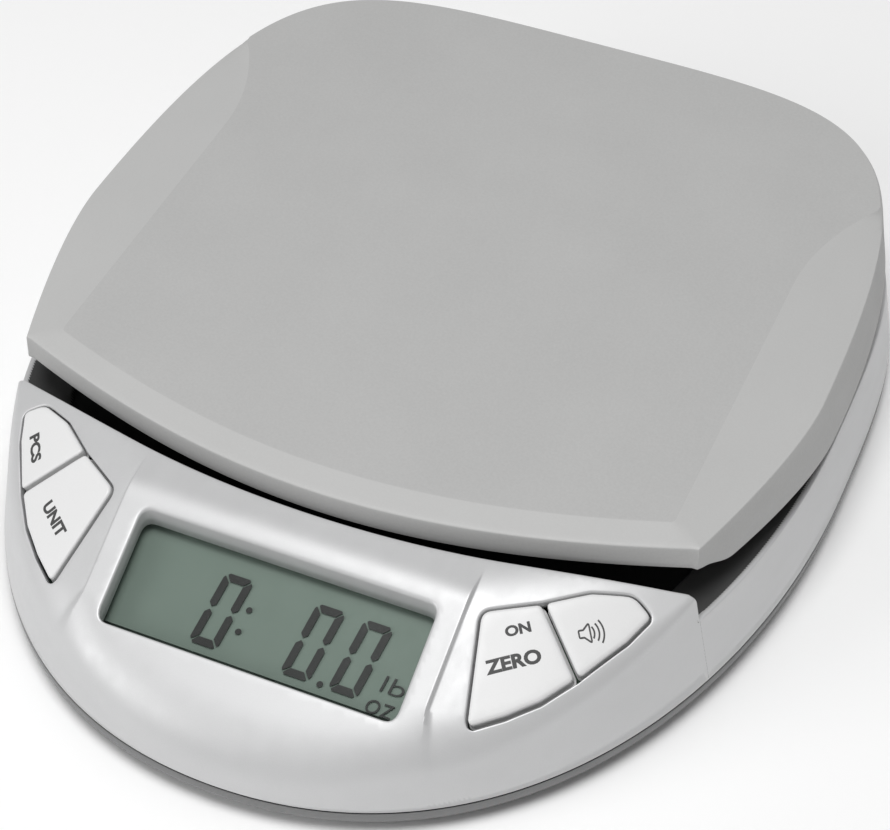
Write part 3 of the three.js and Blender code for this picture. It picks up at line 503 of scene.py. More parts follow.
COOL, WARM = (1, 1.003, 1.01), (1, 1, 0.99)
SILVER = moulded("silver paint", 0.62, COOL, rough=0.44, grain=7, bump=0.006, mottle=0.03,
                 metallic=0.3, coat=0.08)
SILVER_LOWER = moulded("darker silver paint", 0.2, COOL, rough=0.45, grain=7, bump=0.006, mottle=0.03,
                       metallic=0.2)
PLATFORM_GREY = moulded("platform grey", 0.455, WARM, rough=0.62, grain=2.2, bump=0.02, mottle=0.035)
# Painted light: the platform's sloping border is a little lighter than its flat top, standing in for the
# extra light the bevel catches.
PLATFORM_BORDER_PAINTED_LIGHT = moulded("platform border painted lighter", 0.488, WARM, rough=0.55, grain=2.8, bump=0.008, mottle=0.02)
# Painted shade: near black for the well floor, the notch wall's foot and the lip in the parting gap, where
# the platform and housings shade them.
RECESS_PAINTED_SHADE = moulded("recess painted shade", 0.008, rough=0.75, grain=3, bump=0.02, mottle=0.1, wear=0.0, specular=0.25)
# Painted shade: a dark grey for the sloped trough under the platform's edge, standing in for the platform's
# shadow there.
TROUGH_PAINTED_SHADE = moulded("trough painted shade", 0.07, rough=0.6, grain=4, bump=0.01, mottle=0.06, wear=0.0,
                 specular=0.3)
KEY_WHITE = moulded("key white", 0.76, rough=0.38, grain=4, bump=0.004, mottle=0.012, wear=0.03)
BLACK = moulded("black plastic", 0.018, rough=0.5, grain=3, bump=0.02, mottle=0.1)
LEGEND = moulded("legend ink", 0.055, rough=0.6, grain=6, bump=0.002, mottle=0.06)
IVORY = moulded("ivory plastic", 0.66, (1, 0.97, 0.88), rough=0.5, grain=3, bump=0.01)
RUBBER = moulded("black rubber", 0.035, rough=0.85, grain=3, bump=0.03, mottle=0.12, specular=0.3)
BOARD = moulded("green solder mask", 0.16, (0.2, 1, 0.42), rough=0.35, grain=1.2, bump=0.03, mottle=0.1)
LCD_GREEN = moulded("display reflector", 0.245, (0.84, 1.13, 0.95), rough=0.5, grain=6, bump=0.004,
                    mottle=0.02, wear=0.0)
SEGMENT = moulded("display segments", 0.012, (0.9, 1.05, 0.95), rough=0.45, grain=6, bump=0.002,
                  mottle=0.05)
SEALANT = moulded("white silicone", 0.72, (1, 1, 0.96), rough=0.6, grain=2, bump=0.02)
RED = moulded("red insulation", 0.4, (1, 0.06, 0.05), rough=0.45, grain=3, bump=0.01)
CELL_WRAP = moulded("battery wrap", 0.16, (0.3, 0.7, 1), rough=0.3, grain=1.5, bump=0.006, mottle=0.05)
STEEL = metal("zinc plated steel", 0.58, (1, 1.01, 1.03), rough=0.32)
ALUMINIUM = metal("milled aluminium", 0.74, (1, 1, 1.01), rough=0.4, stretch=(6, 0.4, 6))
NICKEL = metal("nickel plate", 0.66, (1, 0.97, 0.9), rough=0.25, stretch=(1, 1, 5))
LENS = clear_plastic("clear plastic")


# ---------------------------------------------------------------- openings

FILLET_SHARES = np.array([0, 0.1, 0.3, 0.6, 1.0])   # of a fillet's radius, out from the opening's edge
POINT_CLEARANCE = 0.3                               # around a fillet, without points of the surface


def fillet_drop(distance, radius):
    """How far a rounded edge lies under the surface, at a distance from the edge."""
    away = np.clip(radius - distance, 0, radius)
    return radius - np.sqrt(np.maximum(radius ** 2 - away ** 2, 0))


class Opening:
    """A closed outline in plan with a rounded edge and walls that go down from it."""

    def __init__(self, outline, radius, depth, direction=(0, 0, -1), step=0.7, floor=False):
        self.outline = resampled(counter_clockwise(outline), step)
        self.radius, self.depth, self.floor = radius, depth, floor
        self.direction = np.array(direction, float)
        self.lines = [grown(self.outline, share * radius) for share in FILLET_SHARES]

    def clear_of(self, points):
        """Points that are outside the opening and its rounded edge."""
        near = self.radius + POINT_CLEARANCE
        reach = np.ptp(self.outline, axis=0) / 2 + near + 1
        close = (np.abs(points - self.outline.mean(axis=0)) < reach).all(axis=1)
        bad = np.zeros(len(points), bool)
        if close.any():
            beside = distance_to(points[close], self.outline) < near
            bad[close] = inside(points[close], self.outline) | beside
        return ~bad

    def drop(self, points):
        """How far points lie under the surface, because of the rounded edge."""
        reach = np.ptp(self.outline, axis=0) / 2 + self.radius + 0.05
        middle = (self.outline.max(axis=0) + self.outline.min(axis=0)) / 2
        fall = np.zeros(len(points))
        close = (np.abs(points - middle) < reach).all(axis=1)
        if close.any():
            fall[close] = fillet_drop(distance_to(points[close], self.outline), self.radius)
        return fall


def lifted(points, height, openings, sign=1):
    """Plan points on a surface, lowered at the rounded edges of its openings."""
    z = height(points[:, 0], points[:, 1])
    for opening in openings:
        z = z - sign * opening.drop(points)
    return np.column_stack([points, z])


def surface_with_openings(build, points, lines, border, height, openings, sign=1, tidy=None):
    """Adds a surface over plan points within border, with its openings' edges and walls."""
    for opening in openings:
        points = points[opening.clear_of(points)]
    constraint = list(lines) + [(line, True) for opening in openings for line in opening.lines]

    def keep(middles):
        good = inside(middles, border)
        for opening in openings:
            good &= ~inside(middles, opening.outline)
        return good

    places, faces = triangulated(points, constraint, keep)
    surface = lifted(places, height, openings, sign)
    if tidy is not None:
        surface = tidy(surface)
    build.add(surface, faces)
    for opening in openings:
        edge = lifted(opening.outline, height, openings, sign)
        foot = edge + opening.direction * opening.depth
        build.rings([edge, edge + opening.direction * 0.5 * opening.depth, foot])
        if opening.floor:
            build.fan(foot)


# ---------------------------------------------------------------- upper housing

def polar_points(angles, radii):
    """Plan points for lists of angles and of radii that may differ for each angle."""
    angle = np.repeat(np.asarray(angles)[:, None], radii.shape[1], axis=1)
    return np.column_stack([(radii * np.cos(angle)).ravel(), (DOME_Y + radii * np.sin(angle)).ravel()])


def key_opening(side):
    """One opening holds both keys of a side."""
    joints = [tuple((np.array(KEY_INNER[k]) + KEY_OUTER[m]) / 2) for k, m in ((1, 0), (2, 5))]
    corners = [KEY_INNER[0], joints[0], *KEY_OUTER[1:5], joints[1], *KEY_INNER[3:]]
    radii = [INNER_RADII[0], 3, *OUTER_RADII[1:5], 3, *INNER_RADII[3:]]
    outline = rounded([(side * x, y) for x, y in corners], radii)
    outline = grown(resampled(counter_clockwise(outline), KEY_STEP), KEY_CLEARANCE)
    return Opening(outline, 0.3, KEY_WELL_DEPTH, -PANEL_NORMAL, KEY_STEP)


def window_opening():
    low, high = WINDOW_LOW * math.cos(TILT), WINDOW_HIGH * math.cos(TILT)
    side = WINDOW_HALF_WIDTH
    corners = [(side, high), (-side, high), (-side, low), (side, low)]
    outline = rounded([(x, y + PANEL_Y) for x, y in corners], 2.0, 9)
    return Opening(outline, 0.5, WINDOW_DROP * math.cos(TILT), (0, 0, -1), 0.6)


NOTCH_END = 30                                 # close points at each end, where the line goes down the wall
NOTCH_ROUND, NOTCH_MARGIN = 0.55, 0.9          # its largest round, and the strip without deck points
DECK_STEP = 1.1


def notch_line(step=0.7):
    """The deck's rear edge in plan, from the housing's outline on the left to that on the right."""
    x = np.linspace(0, HALF_WIDTH + 1.8, 4000)
    y = deck_back_y(x)
    room = inset_at(x, y) - FIRST_INSET
    last = np.argmax(room < 0)
    share = room[last - 1] / (room[last - 1] - room[last])
    end = [x[last - 1] + share * (x[last] - x[last - 1]), y[last - 1] + share * (y[last] - y[last - 1])]
    right = np.vstack([np.column_stack([x[:last], y[:last]]), end])
    line = np.vstack([right[::-1] * [-1, 1], right[1:]])
    fine = resampled(line, step / 5, closed=False)
    last = len(fine) - NOTCH_END
    chosen = [*range(NOTCH_END), *range(NOTCH_END, last, 5), *range(last, len(fine))]
    return fine[chosen]


def deck_surface(x, y):
    """The outside with a round along the notch, as large as the wall behind it allows."""
    z = dome_height(x, y)
    room = np.clip((z - well_height(x, y)) / 2, 0, NOTCH_ROUND)
    away = np.clip(deck_back_y(x) - y, 0, None)
    share = np.clip(1 - away / np.maximum(room, 1e-6), 0, 1)
    return z - room * (1 - np.sqrt(1 - share ** 2 * 0.999))


def deck_points(angles):
    """Plan points over the front wall, its shoulder and the deck, without a strip along the notch."""
    r0, _, r1, _, r2, _ = [row[:, None] for row in shoulder_at(angles)]
    wall = outline_radius(angles)[:, None] - FIRST_INSET
    t = np.linspace(0, 1, 13)[1:]
    on_wall = wall + (r0 - wall) * np.linspace(0, 1, 7)
    on_round = r0 * (1 - t) ** 2 + 2 * r1 * t * (1 - t) + r2 * t ** 2
    on_deck = r2 - np.arange(DECK_STEP, 46, DECK_STEP)[None]
    points = polar_points(angles, np.hstack([on_wall, on_round, on_deck]))
    points = points[points[:, 1] - deck_back_y(points[:, 0]) < -NOTCH_MARGIN]
    band = np.abs(np.abs(points[:, 0]) - PANEL_HALF_WIDTH - PANEL_STEP / 2) < PANEL_STEP + 0.2
    return points[~(band & (points[:, 1] > PANEL_FADE_Y[0]))]


def panel_side_points():
    """Close rows of plan points along the steps at the panel's sides, inside the shoulder."""
    rows = []
    for share in (-0.5, -0.04, 0.15, 0.32, 0.5, 0.68, 0.85, 1.04, 1.5):
        x = PANEL_HALF_WIDTH + share * PANEL_STEP
        y = np.arange(PANEL_FADE_Y[0] + 0.1, deck_back_y(x) - NOTCH_MARGIN, 0.7)
        for side in (1, -1):
            rows.append(np.column_stack([np.full_like(y, side * x), y]))
    points = np.vstack(rows)
    x, y = points[:, 0], points[:, 1] - DOME_Y
    return points[np.hypot(x, y) < shoulder_at(np.arctan2(y, x))[0] - 0.2]


def well_points(front_angles, rear_angles):
    """Plan points over the rear wall, the rim, the well and its floor, behind the notch line."""
    insets = np.concatenate([
        np.linspace(FIRST_INSET, RIM_INSET - RIM_EDGE, 8)[:-1], [inset for inset, _ in WELL_PROFILE[1:6]],
        [RIM_INSET + 0.5], [inset for inset, _ in WELL_PROFILE[6:14]],
        np.linspace(RIM_INSET + 1.1, WELL_INSET - 1, 8)[1:-1], [14.5, 18, 24, 32],
    ])
    rear = polar_points(rear_angles, outline_radius(rear_angles)[:, None] - insets[None])
    under_insets = np.array([11.4, 12, 12.4, 14, 18, 24])
    under = polar_points(front_angles, outline_radius(front_angles)[:, None] - under_insets)
    grid = grid_over((-50, 51), (-46, 78), 6.0)
    points = np.vstack([rear, under, grid[inset_at(*grid.T) > 36]])
    return points[points[:, 1] - deck_back_y(points[:, 0]) > 0.35]


def well_look(x, y, z):
    """Which material a face of the upper housing has: 0 is silver, 1 the trough's painted shade, 2 the
    near-black painted shade of the well floor and the notch wall's foot.
    """
    behind = y - deck_back_y(x)
    if behind > 0.02 and inset_at(x, y) > RIM_INSET + 1.0:
        return 2 if z < WELL_FLOOR_Z + 0.5 else 1
    return 2 if abs(behind) <= 0.02 and z < WELL_FLOOR_Z + 4 else 0


def upper_housing():
    build = Build()
    edge = notch_line()
    start = math.atan2(edge[-1][1] - DOME_Y, edge[-1][0])
    front_angles = np.linspace(-math.pi - start, start, 230)
    rear_angles = np.linspace(start, math.pi - start, 560)

    points = np.vstack([deck_points(front_angles), panel_side_points()])
    front_rim = polar_points(front_angles, outline_radius(front_angles)[:, None] - FIRST_INSET)
    border = np.vstack([edge, front_rim[::-1][1:-1]])
    rows = [edge - [0, back] for back in (0.05, 0.16, 0.33, 0.55)]
    rows = [row[inset_at(*row.T) > 0.05] for row in rows]
    lines = [(border, True)] + [(row, False) for row in rows]
    openings = [key_opening(1), key_opening(-1), window_opening()]
    surface_with_openings(build, points, lines, border, deck_surface, openings)

    rear_rim = polar_points(rear_angles, outline_radius(rear_angles)[:, None] - FIRST_INSET)
    border = np.vstack([edge, rear_rim[1:-1]])
    slot = Opening(rounded(rectangle(-16, 16, -12, 52), 1.5), 0.4, 2.0, step=2)
    surface_with_openings(build, well_points(front_angles, rear_angles), [(border, True)], border,
                          well_height, [slot])

    top = at_height(edge, deck_surface(*edge.T))
    bottom = at_height(edge, np.minimum(well_height(*edge.T), top[:, 2]))
    build.rings([bottom, bottom * 0.5 + top * 0.5, top], closed=False)

    made = build.made("upper_housing_shell", "base", "upper_housing", ["upper_housing"], material=SILVER)
    # Painted shade: dark grey on the trough under the platform's edge, near black on the well floor and the
    # notch wall's foot.
    made.data.materials.append(TROUGH_PAINTED_SHADE)
    made.data.materials.append(RECESS_PAINTED_SHADE)
    for face in made.data.polygons:
        face.material_index = well_look(*(np.array(face.center) / MM))
    shell = made.modifiers.new("wall", "SOLIDIFY")
    shell.thickness = SHELL * MM
    shell.offset = -1


# ---------------------------------------------------------------- lower housing and battery door

FULL_ANGLES = np.linspace(-math.pi, math.pi, 641)[:-1]


def ring_at(inset, z):
    """The housing's outline, moved inward and lifted to a height."""
    radius = outline_radius(FULL_ANGLES) - inset
    plan = np.column_stack([radius * np.cos(FULL_ANGLES), DOME_Y + radius * np.sin(FULL_ANGLES)])
    return at_height(plan, z)


def circle(x, y, radius, count=48):
    turn = np.linspace(0, 2 * math.pi, count + 1)[:-1]
    return np.column_stack([x + radius * np.cos(turn), y + radius * np.sin(turn)])


def turned(build, profile, x, y, count=48):
    """Faces of a turned shape around a vertical axis, from pairs of a radius and a height."""
    build.rings([at_height(circle(x, y, radius, count), z) for radius, z in profile])


def middle_of(node):
    low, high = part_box(node)
    return tuple(float(v) / MM for v in (low + high) / 2)


FOOT_NODES = ["front_right_foot", "front_left_foot", "rear_right_foot", "rear_left_foot"]
HOUSING_SCREWS = [f"housing_screw_{i}" for i in range(1, 7)]
CELL_SCREWS = ["load_cell_screw_1", "load_cell_screw_2"]


LOWER_ROUND = (3.6, 4.2, 3.0)                  # inset, top and drop of the round between side and bottom
LIP_RISE = 1.6                                 # of the hidden lip that holds the upper housing
DOOR_GAP = 0.3
UP = (0, 0, 1)


def flat_at(height):
    """A surface function that is the same height all over."""
    return lambda x, y: np.full_like(x, height)


def lower_housing():
    build = Build()
    top = PARTING_Z - PARTING_GAP / 2
    side_inset, side_z, side_drop = LOWER_ROUND
    sides = [(side_inset * (1 - math.cos(a)), side_z - side_drop * math.sin(a))
             for a in np.linspace(0, math.pi / 2, 9)]
    band = [(0.22, top), (0.07, top - 0.05), (0, top - 0.22), (0, 4.75)] + sides
    build.rings([ring_at(inset, z) for inset, z in band])
    lip = [(0.22, top), (1.1, top), (1.1, top + LIP_RISE), (1.9, top + LIP_RISE), (1.9, 3.4)]
    build.rings([ring_at(inset, z) for inset, z in lip])

    low, high = [np.array(corner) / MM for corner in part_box("battery_door")]
    door = rectangle(low[0] - DOOR_GAP, high[0] + DOOR_GAP, low[1] - DOOR_GAP, high[1] + DOOR_GAP)
    openings = [Opening(rounded(door, 1.2), 0.25, 10.8, UP, 1.2)]
    holes = [(name, 2.9, 0.3, 2.3, 0.5) for name in HOUSING_SCREWS]
    holes += [(name, 3.0, 0.3, 2.3, 0.5) for name in CELL_SCREWS]
    holes += [(name, 6.3, 0.25, 0.7, 0.7) for name in FOOT_NODES]
    for name, radius, fillet, depth, step in holes:
        openings.append(Opening(circle(*middle_of(name)[:2], radius), fillet, depth, UP, step, floor=True))
    openings.append(Opening(circle(*middle_of("overload_stop_screw")[:2], 1.8), 0.2, 4, UP, 0.4))
    border = ring_at(side_inset, 0)[:, :2]
    grid = grid_over((-70, 71), (-84, 85), 5.0)
    surface_with_openings(build, grid[inset_at(*grid.T) > 6], [(border, True)], border, flat_at(BOTTOM_Z),
                          openings, sign=-1)
    # Painted shade: the lip above the parting line takes a near-black colour, standing in for the shade
    # inside the gap between the housings.
    seam = top - 0.02
    build.made("lower_housing_shell", "base", "lower_housing", ["lower_housing"], material=SILVER_LOWER,
               second=RECESS_PAINTED_SHADE,
               second_where=lambda place: place[2] > seam and math.hypot(place[0], place[1]) > 50)


def battery_door():
    build = Build()
    low, high = [np.array(corner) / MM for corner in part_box("battery_door")]
    outline = resampled(rounded(rectangle(low[0], high[0], low[1], high[1]), 1.0), 1.2)
    top, bottom = 2.8, float(low[2])

    def ring(inset, z):
        return at_height(grown(outline, -inset), z)

    build.rings([ring(0.3, top), ring(0, top - 0.3), ring(0, bottom + 0.3), ring(0.09, bottom + 0.09)])
    build.fan(ring(0.3, top))
    grips = []
    for back in (4, 6, 8, 10):
        groove = rectangle(-7, 7, high[1] - back, high[1] - back + 0.8)
        grips.append(Opening(rounded(groove, 0.38), 0.15, 0.5, UP, 0.3, floor=True))
    border = grown(outline, -0.3)
    grid = grid_over((-22, 23), (low[1] + 2, high[1] - 1), 4.0)
    surface_with_openings(build, grid, [(border, True)], border, flat_at(bottom), grips, sign=-1)
    build.rings([ring(0.09, bottom + 0.09), ring(0.3, bottom)])
    hook = rounded(rectangle(-5, 5, high[1] - 1.2, high[1] - 0.4), 0.3, 4)
    hook_top = at_height(grown(hook, -0.2), 4.6)
    build.rings([at_height(hook, z) for z in (top - 0.1, 3.4, 4.4)] + [hook_top])
    build.fan(hook_top)
    build.made("battery_door_panel", "battery_door", "lower_housing", ["battery_door"], material=SILVER_LOWER)


# ---------------------------------------------------------------- platform

def platform_front_y(x):
    part = x / BOW_HALF_WIDTH
    return PLATFORM_FRONT_Y + BOW_DEPTH * part ** 2 - BOW_FLATTENING * part ** 4


def platform_outline():
    """The platform's edge: a bowed front between two tight corners, then round the sides and back."""
    cx, cy = PLATFORM_CORNER
    side = bezier([(cx, cy), (64.5, -22.8), (PLATFORM_SIDE[0], -4), PLATFORM_SIDE], 60)
    rear_end = (0, PLATFORM_REAR_Y)
    rear = bezier([PLATFORM_SIDE, (PLATFORM_SIDE[0], 86.8), (53, PLATFORM_REAR_Y), rear_end], 120)[1:]
    right = np.vstack([side, rear])
    left = (right * [-1, 1])[::-1][1:]
    x = np.linspace(-cx, cx, 140)[1:-1]
    front = np.column_stack([x, platform_front_y(x)])
    return counter_clockwise(np.vstack([right, left, front]))


def on_plateau(points):
    x, y = points.T
    side = PLATEAU_HALF_WIDTH + PLATEAU_WIDENING * np.clip(y - PLATEAU_WIDENS_Y, 0, None) ** 2
    return (np.abs(x) < side) & (y > platform_front_y(x) + FRONT_BORDER)


def plateau_shares(outline):
    """The flat top's reach from the platform's middle, as a share of the way to each point of the edge."""
    away = outline - [0, PLATFORM_MIDDLE_Y]
    low, high = np.full(len(away), 0.5), 1 - 0.6 / np.hypot(*away.T)
    low = np.where(on_plateau([0, PLATFORM_MIDDLE_Y] + away * high[:, None]), high, low)
    for _ in range(26):
        middle = (low + high) / 2
        good = on_plateau([0, PLATFORM_MIDDLE_Y] + away * middle[:, None])
        low, high = np.where(good, middle, low), np.where(good, high, middle)
    return low


def blurred(values, width):
    """Values around a closed ring, averaged over some neighbours."""
    kernel = np.hanning(2 * width + 3)[1:-1]
    kernel /= kernel.sum()
    wrapped = np.concatenate([values[-width:], values, values[:width]])
    return np.convolve(wrapped, kernel, "valid")


def platform():
    build = Build()
    outline = np.array(platform_outline())
    middle = np.array([0, PLATFORM_MIDDLE_Y])
    away = outline - middle
    along = np.roll(outline, -1, axis=0) - np.roll(outline, 1, axis=0)
    normal = np.column_stack([along[:, 1], -along[:, 0]]) / np.hypot(*along.T)[:, None]
    front = smoothstep(-normal[:, 1], 0.70, 0.8)
    belly = np.clip(1 - ((outline[:, 1] - PLATFORM_MIDDLE_Y) / BELLY_HALF_LENGTH) ** 2, 0, None)
    flare = blurred((1 - front) * (FLARE + BELLY_FLARE * belly), 2)
    bottom = PLATFORM_BOTTOM_Z - SKIRT_DROP * smoothstep(outline[:, 1], *SKIRT_Y)
    share = plateau_shares(outline)

    def ring(out, z):
        out = np.broadcast_to(np.asarray(out, float), (len(outline),))
        return at_height(outline + normal * out[:, None], z)

    def top_ring(part, z):
        """Between the edge (part 0) and the rim of the flat top (part 1)."""
        scale = (1 - (1 - share) * part)[:, None]
        return at_height(middle + away * scale, z)

    rise = PLATFORM_TOP_Z - PLATFORM_EDGE_Z
    inside_wall = flare - PLATFORM_WALL
    rings = [ring(inside_wall, PLATFORM_UNDER_Z), ring(inside_wall, bottom + 0.3),
             ring(inside_wall + 0.3, bottom), ring(flare - 0.25, bottom), ring(flare - 0.07, bottom + 0.07)]
    for t in (0.06, 0.25, 0.5, 0.75, 0.93):
        rings.append(ring(flare * (1 - t), bottom + (PLATFORM_EDGE_Z - bottom) * t))
    rings += [ring(-0.03, PLATFORM_EDGE_Z - 0.14), ring(-0.13, PLATFORM_EDGE_Z - 0.01)]
    slope = [0.1, 0.25, 0.5, 0.75, 0.88, 0.94, 0.97, 1.0]
    rings += [top_ring(p, PLATFORM_EDGE_Z + 0.02 + (rise - 0.02) * p) for p in slope]
    build.rings(rings)
    flat = [at_height(middle + away * (share * part)[:, None], PLATFORM_TOP_Z)
            for part in np.concatenate([[0.995], np.linspace(1, 0, 22)[1:-1]])]
    build.rings([rings[-1]] + flat)
    build.fan(flat[-1])
    build.fan(ring(inside_wall, PLATFORM_UNDER_Z))
    root, end = PLATFORM_UNDER_Z + 0.1, RIB_BOTTOM_Z + 0.15
    for x in (-40, -20, 0, 20, 40):
        rib = rounded(rectangle(x - 0.8, x + 0.8, -30, 70), 0.3, 3)
        levels = [at_height(grown(rib, -i), z) for i, z in ((0, root), (0, end), (0.15, RIB_BOTTOM_Z))]
        build.rings(levels)
        build.fan(levels[-1])
    boss = [(4, root), (4, end), (3.85, RIB_BOTTOM_Z), (1.7, RIB_BOTTOM_Z), (1.6, RIB_BOTTOM_Z + 0.2),
            (1.6, 32)]
    for i in range(1, 5):
        turned(build, boss, *middle_of(f"platform_screw_{i}")[:2], 32)
    # Painted light: the faces of the sloping border between edge and flat top take the slightly lighter grey.
    build.made("platform_plate", "platform", "platform", ["platform"], material=PLATFORM_GREY,
               second=PLATFORM_BORDER_PAINTED_LIGHT,
               second_where=lambda place: PLATFORM_EDGE_Z - 0.1 < place[2] < PLATFORM_TOP_Z - 0.004)


# ---------------------------------------------------------------- keys and their legends

def over_deck(points, rise):
    """Places above plan points: on the deck's cone, then rise mm along the keys' travel."""
    points = np.asarray(points, float)
    z = cone_height(np.hypot(points[:, 0], points[:, 1] - DOME_Y))
    return np.column_stack([points, z]) + np.asarray(rise, float).reshape(-1, 1) * PANEL_NORMAL


def key_cap(name, corners, radii, side):
    build = Build()
    outline = resampled(counter_clockwise(rounded([(side * x, y) for x, y in corners], radii)), KEY_STEP)
    flange = grown(outline, 0.3)
    rings = [over_deck(flange, -3.3), over_deck(flange, -2.7), over_deck(outline, -2.6),
             over_deck(outline, -1.3)]
    for a in np.linspace(0, math.pi / 2, 6):
        inset, fall = KEY_EDGE * (1 - math.cos(a)), KEY_EDGE * (1 - math.sin(a))
        rings.append(over_deck(grown(outline, -inset), KEY_PROUD - fall))
    build.rings(rings)
    build.fan(rings[0])
    border = grown(outline, -KEY_EDGE)
    low, high = border.min(axis=0), border.max(axis=0)
    grid = grid_over((low[0], high[0]), (low[1], high[1]), 1.1)
    grid = grid[inside(grid, border)]
    grid = grid[distance_to(grid, border) > 0.45]
    places, faces = triangulated(grid, [(border, True)], lambda middles: inside(middles, border))
    build.add(over_deck(places, KEY_PROUD), faces)
    build.made(name + "_cap", name, "key", [name], material=KEY_WHITE)


def lettering(text, weight):
    """A word's points, with its width, height and depth each scaled to 0 to 1, and its faces."""
    curve = bpy.data.curves.new("word", "FONT")
    curve.body = text
    curve.offset = weight
    curve.extrude = 0.1
    curve.resolution_u = 4
    holder = bpy.data.objects.new("word", curve)
    bpy.context.scene.collection.objects.link(holder)
    mesh = bpy.data.meshes.new_from_object(holder.evaluated_get(bpy.context.evaluated_depsgraph_get()))
    points = np.array([v.co for v in mesh.vertices])
    faces = [tuple(p.vertices) for p in mesh.polygons]
    bpy.data.objects.remove(holder)
    bpy.data.meshes.remove(mesh)
    points -= points.min(axis=0)
    return points / points.max(axis=0), faces


def legend(name, text, start, end, height, body, weight=0.042):
    """A word printed on a key, with its baseline from start to end in plan and its height in mm."""
    points, faces = lettering(text, weight)
    start, end = np.array(start, float), np.array(end, float)
    along = (end - start) / np.linalg.norm(end - start)
    across = np.array([-along[1], along[0]])
    plan = start + points[:, :1] * (end - start) + points[:, 1:2] * across * height * CAPITALS_LEAN
    rise = INK_BOTTOM + (INK_TOP - INK_BOTTOM) * points[:, 2]
    make_piece(name, over_deck(plan, rise), faces, body, "key", material=LEGEND, **PRINTED)


def stroke(build, line, width, closed=False):
    """A printed line of constant width over plan points."""
    line = np.asarray(line, float)
    if closed:
        along = np.roll(line, -1, axis=0) - np.roll(line, 1, axis=0)
    else:
        along = np.gradient(line, axis=0)
    along /= np.hypot(*along.T)[:, None]
    normal = np.column_stack([-along[:, 1], along[:, 0]]) * width / 2
    rows = [over_deck(line + normal, INK_BOTTOM), over_deck(line + normal, INK_TOP),
            over_deck(line - normal, INK_TOP), over_deck(line - normal, INK_BOTTOM)]
    build.rings(rows + [rows[0]], closed)


def speaker_icon():
    """A loudspeaker's outline with three sound waves, printed on the sound key."""
    build = Build()
    middle, size, turned_by = np.array([49.4, -48.5]), 1.2, math.radians(36)
    along = np.array([math.cos(turned_by), math.sin(turned_by)])
    across = np.array([-along[1], along[0]])

    def plan(points):
        points = np.asarray(points, float)
        return middle + size * (points[:, :1] * along + points[:, 1:2] * across * CAPITALS_LEAN)

    cone = [(-1.1, 0.5), (-0.45, 0.5), (0.45, 1.35), (0.45, -1.35), (-0.45, -0.5), (-1.1, -0.5)]
    stroke(build, plan(resampled(rounded(cone, 0.12, 4), 0.12)), 0.27, closed=True)
    for radius in (1.35, 2.0, 2.65):
        turn = np.linspace(-0.62, 0.62, 15)
        stroke(build, plan(np.column_stack([radius * np.cos(turn) - 0.35, radius * np.sin(turn)])), 0.28)
    build.made("sound_key_icon", "sound_key", "key", material=LEGEND, **PRINTED)


# ---------------------------------------------------------------- display

SEGMENT_SLANT = 0.135
DIGIT_WIDTH, DIGIT_HEIGHT, STROKE = 5.2, 12.7, 1.3
DIGITS_LEFT = (-12.3, 4.3, 12.8)
DIGIT_BASE = -8.35
SEGMENT_BOTTOM, SEGMENT_DEPTH = -5.02, 0.1     # along the panel's normal


def in_panel(points, depth):
    """Places in the display panel's own plane, depth mm along its normal."""
    points = np.asarray(points, float)
    place = np.array([0, PANEL_Y, PANEL_Z]) + points[:, 1:2] * PANEL_UP + np.outer(points[:, 0], [1, 0, 0])
    return place + np.asarray(depth, float).reshape(-1, 1) * PANEL_NORMAL


def slanted(points):
    points = np.asarray(points, float)
    return np.column_stack([points[:, 0] + SEGMENT_SLANT * (points[:, 1] - DIGIT_BASE), points[:, 1]])


def zero_segments():
    """The six lit segments of a 0, from its lower left corner."""
    w, h, s, gap = DIGIT_WIDTH, DIGIT_HEIGHT, STROKE, 0.22
    top = [(0.32 + gap, h - 0.3), (0.8, h), (w - 0.8, h), (w - 0.32 - gap, h - 0.3),
           (w - s - 0.5 * gap, h - s), (s + 0.5 * gap, h - s)]
    upper_left = [(0, h / 2 + 0.9), (0, h - 0.95), (0.22, h - 0.5), (s, h - s - 0.25), (s, h / 2 + 0.75),
                  (s / 2, h / 2 + gap)]

    def flip(points, u, v):
        return [(w - x if u else x, h - y if v else y) for x, y in points]

    lit = [top, flip(top, False, True)]
    return lit + [flip(upper_left, u, v) for u in (False, True) for v in (False, True)]


def printed(build, outline):
    """A thin plate on the display, from its outline in the panel's plane."""
    outline = slanted(counter_clockwise(outline))
    low, high = in_panel(outline, SEGMENT_BOTTOM), in_panel(outline, SEGMENT_BOTTOM + SEGMENT_DEPTH)
    build.strip(low, high)
    build.fan(high)
    build.fan(low)


def display_segments():
    build = Build()
    for left in DIGITS_LEFT:
        for outline in zero_segments():
            printed(build, rounded([(x + left, y + DIGIT_BASE) for x, y in outline], 0.12, 3))
    for x, y in ((-5.5, -0.4), (-5.35, -4.3), (11.35, -8.0)):
        printed(build, circle(x, y, 0.52, 20))
    for text, start, size in (("lb", (20.7, -5.9), (3.9, 2.75)), ("oz", (19.9, -9.75), (4.6, 2.3))):
        points, faces = lettering(text, -0.012)
        flat = slanted(np.array(start) + points[:, :2] * size)
        build.add(in_panel(flat, SEGMENT_BOTTOM + SEGMENT_DEPTH * points[:, 2]), faces)
    build.made("display_segments", "base", "lcd", material=SEGMENT, **PRINTED)


# ---------------------------------------------------------------- feet and screws

def foot(name):
    build = Build()
    x, y, _ = middle_of(name)
    profile = [(2.0, 0.35), (4.3, 0.3), (4.7, 0.05), (4.9, 0), (5.35, 0), (5.7, 0.1), (5.93, 0.33),
               (6, 0.65), (6, 1.6)]
    turned(build, profile, x, y)
    for radius, z in (profile[0], profile[-1]):
        build.fan(at_height(circle(x, y, radius), z))
    build.made(name + "_pad", "base", "rubber", [name], material=RUBBER)


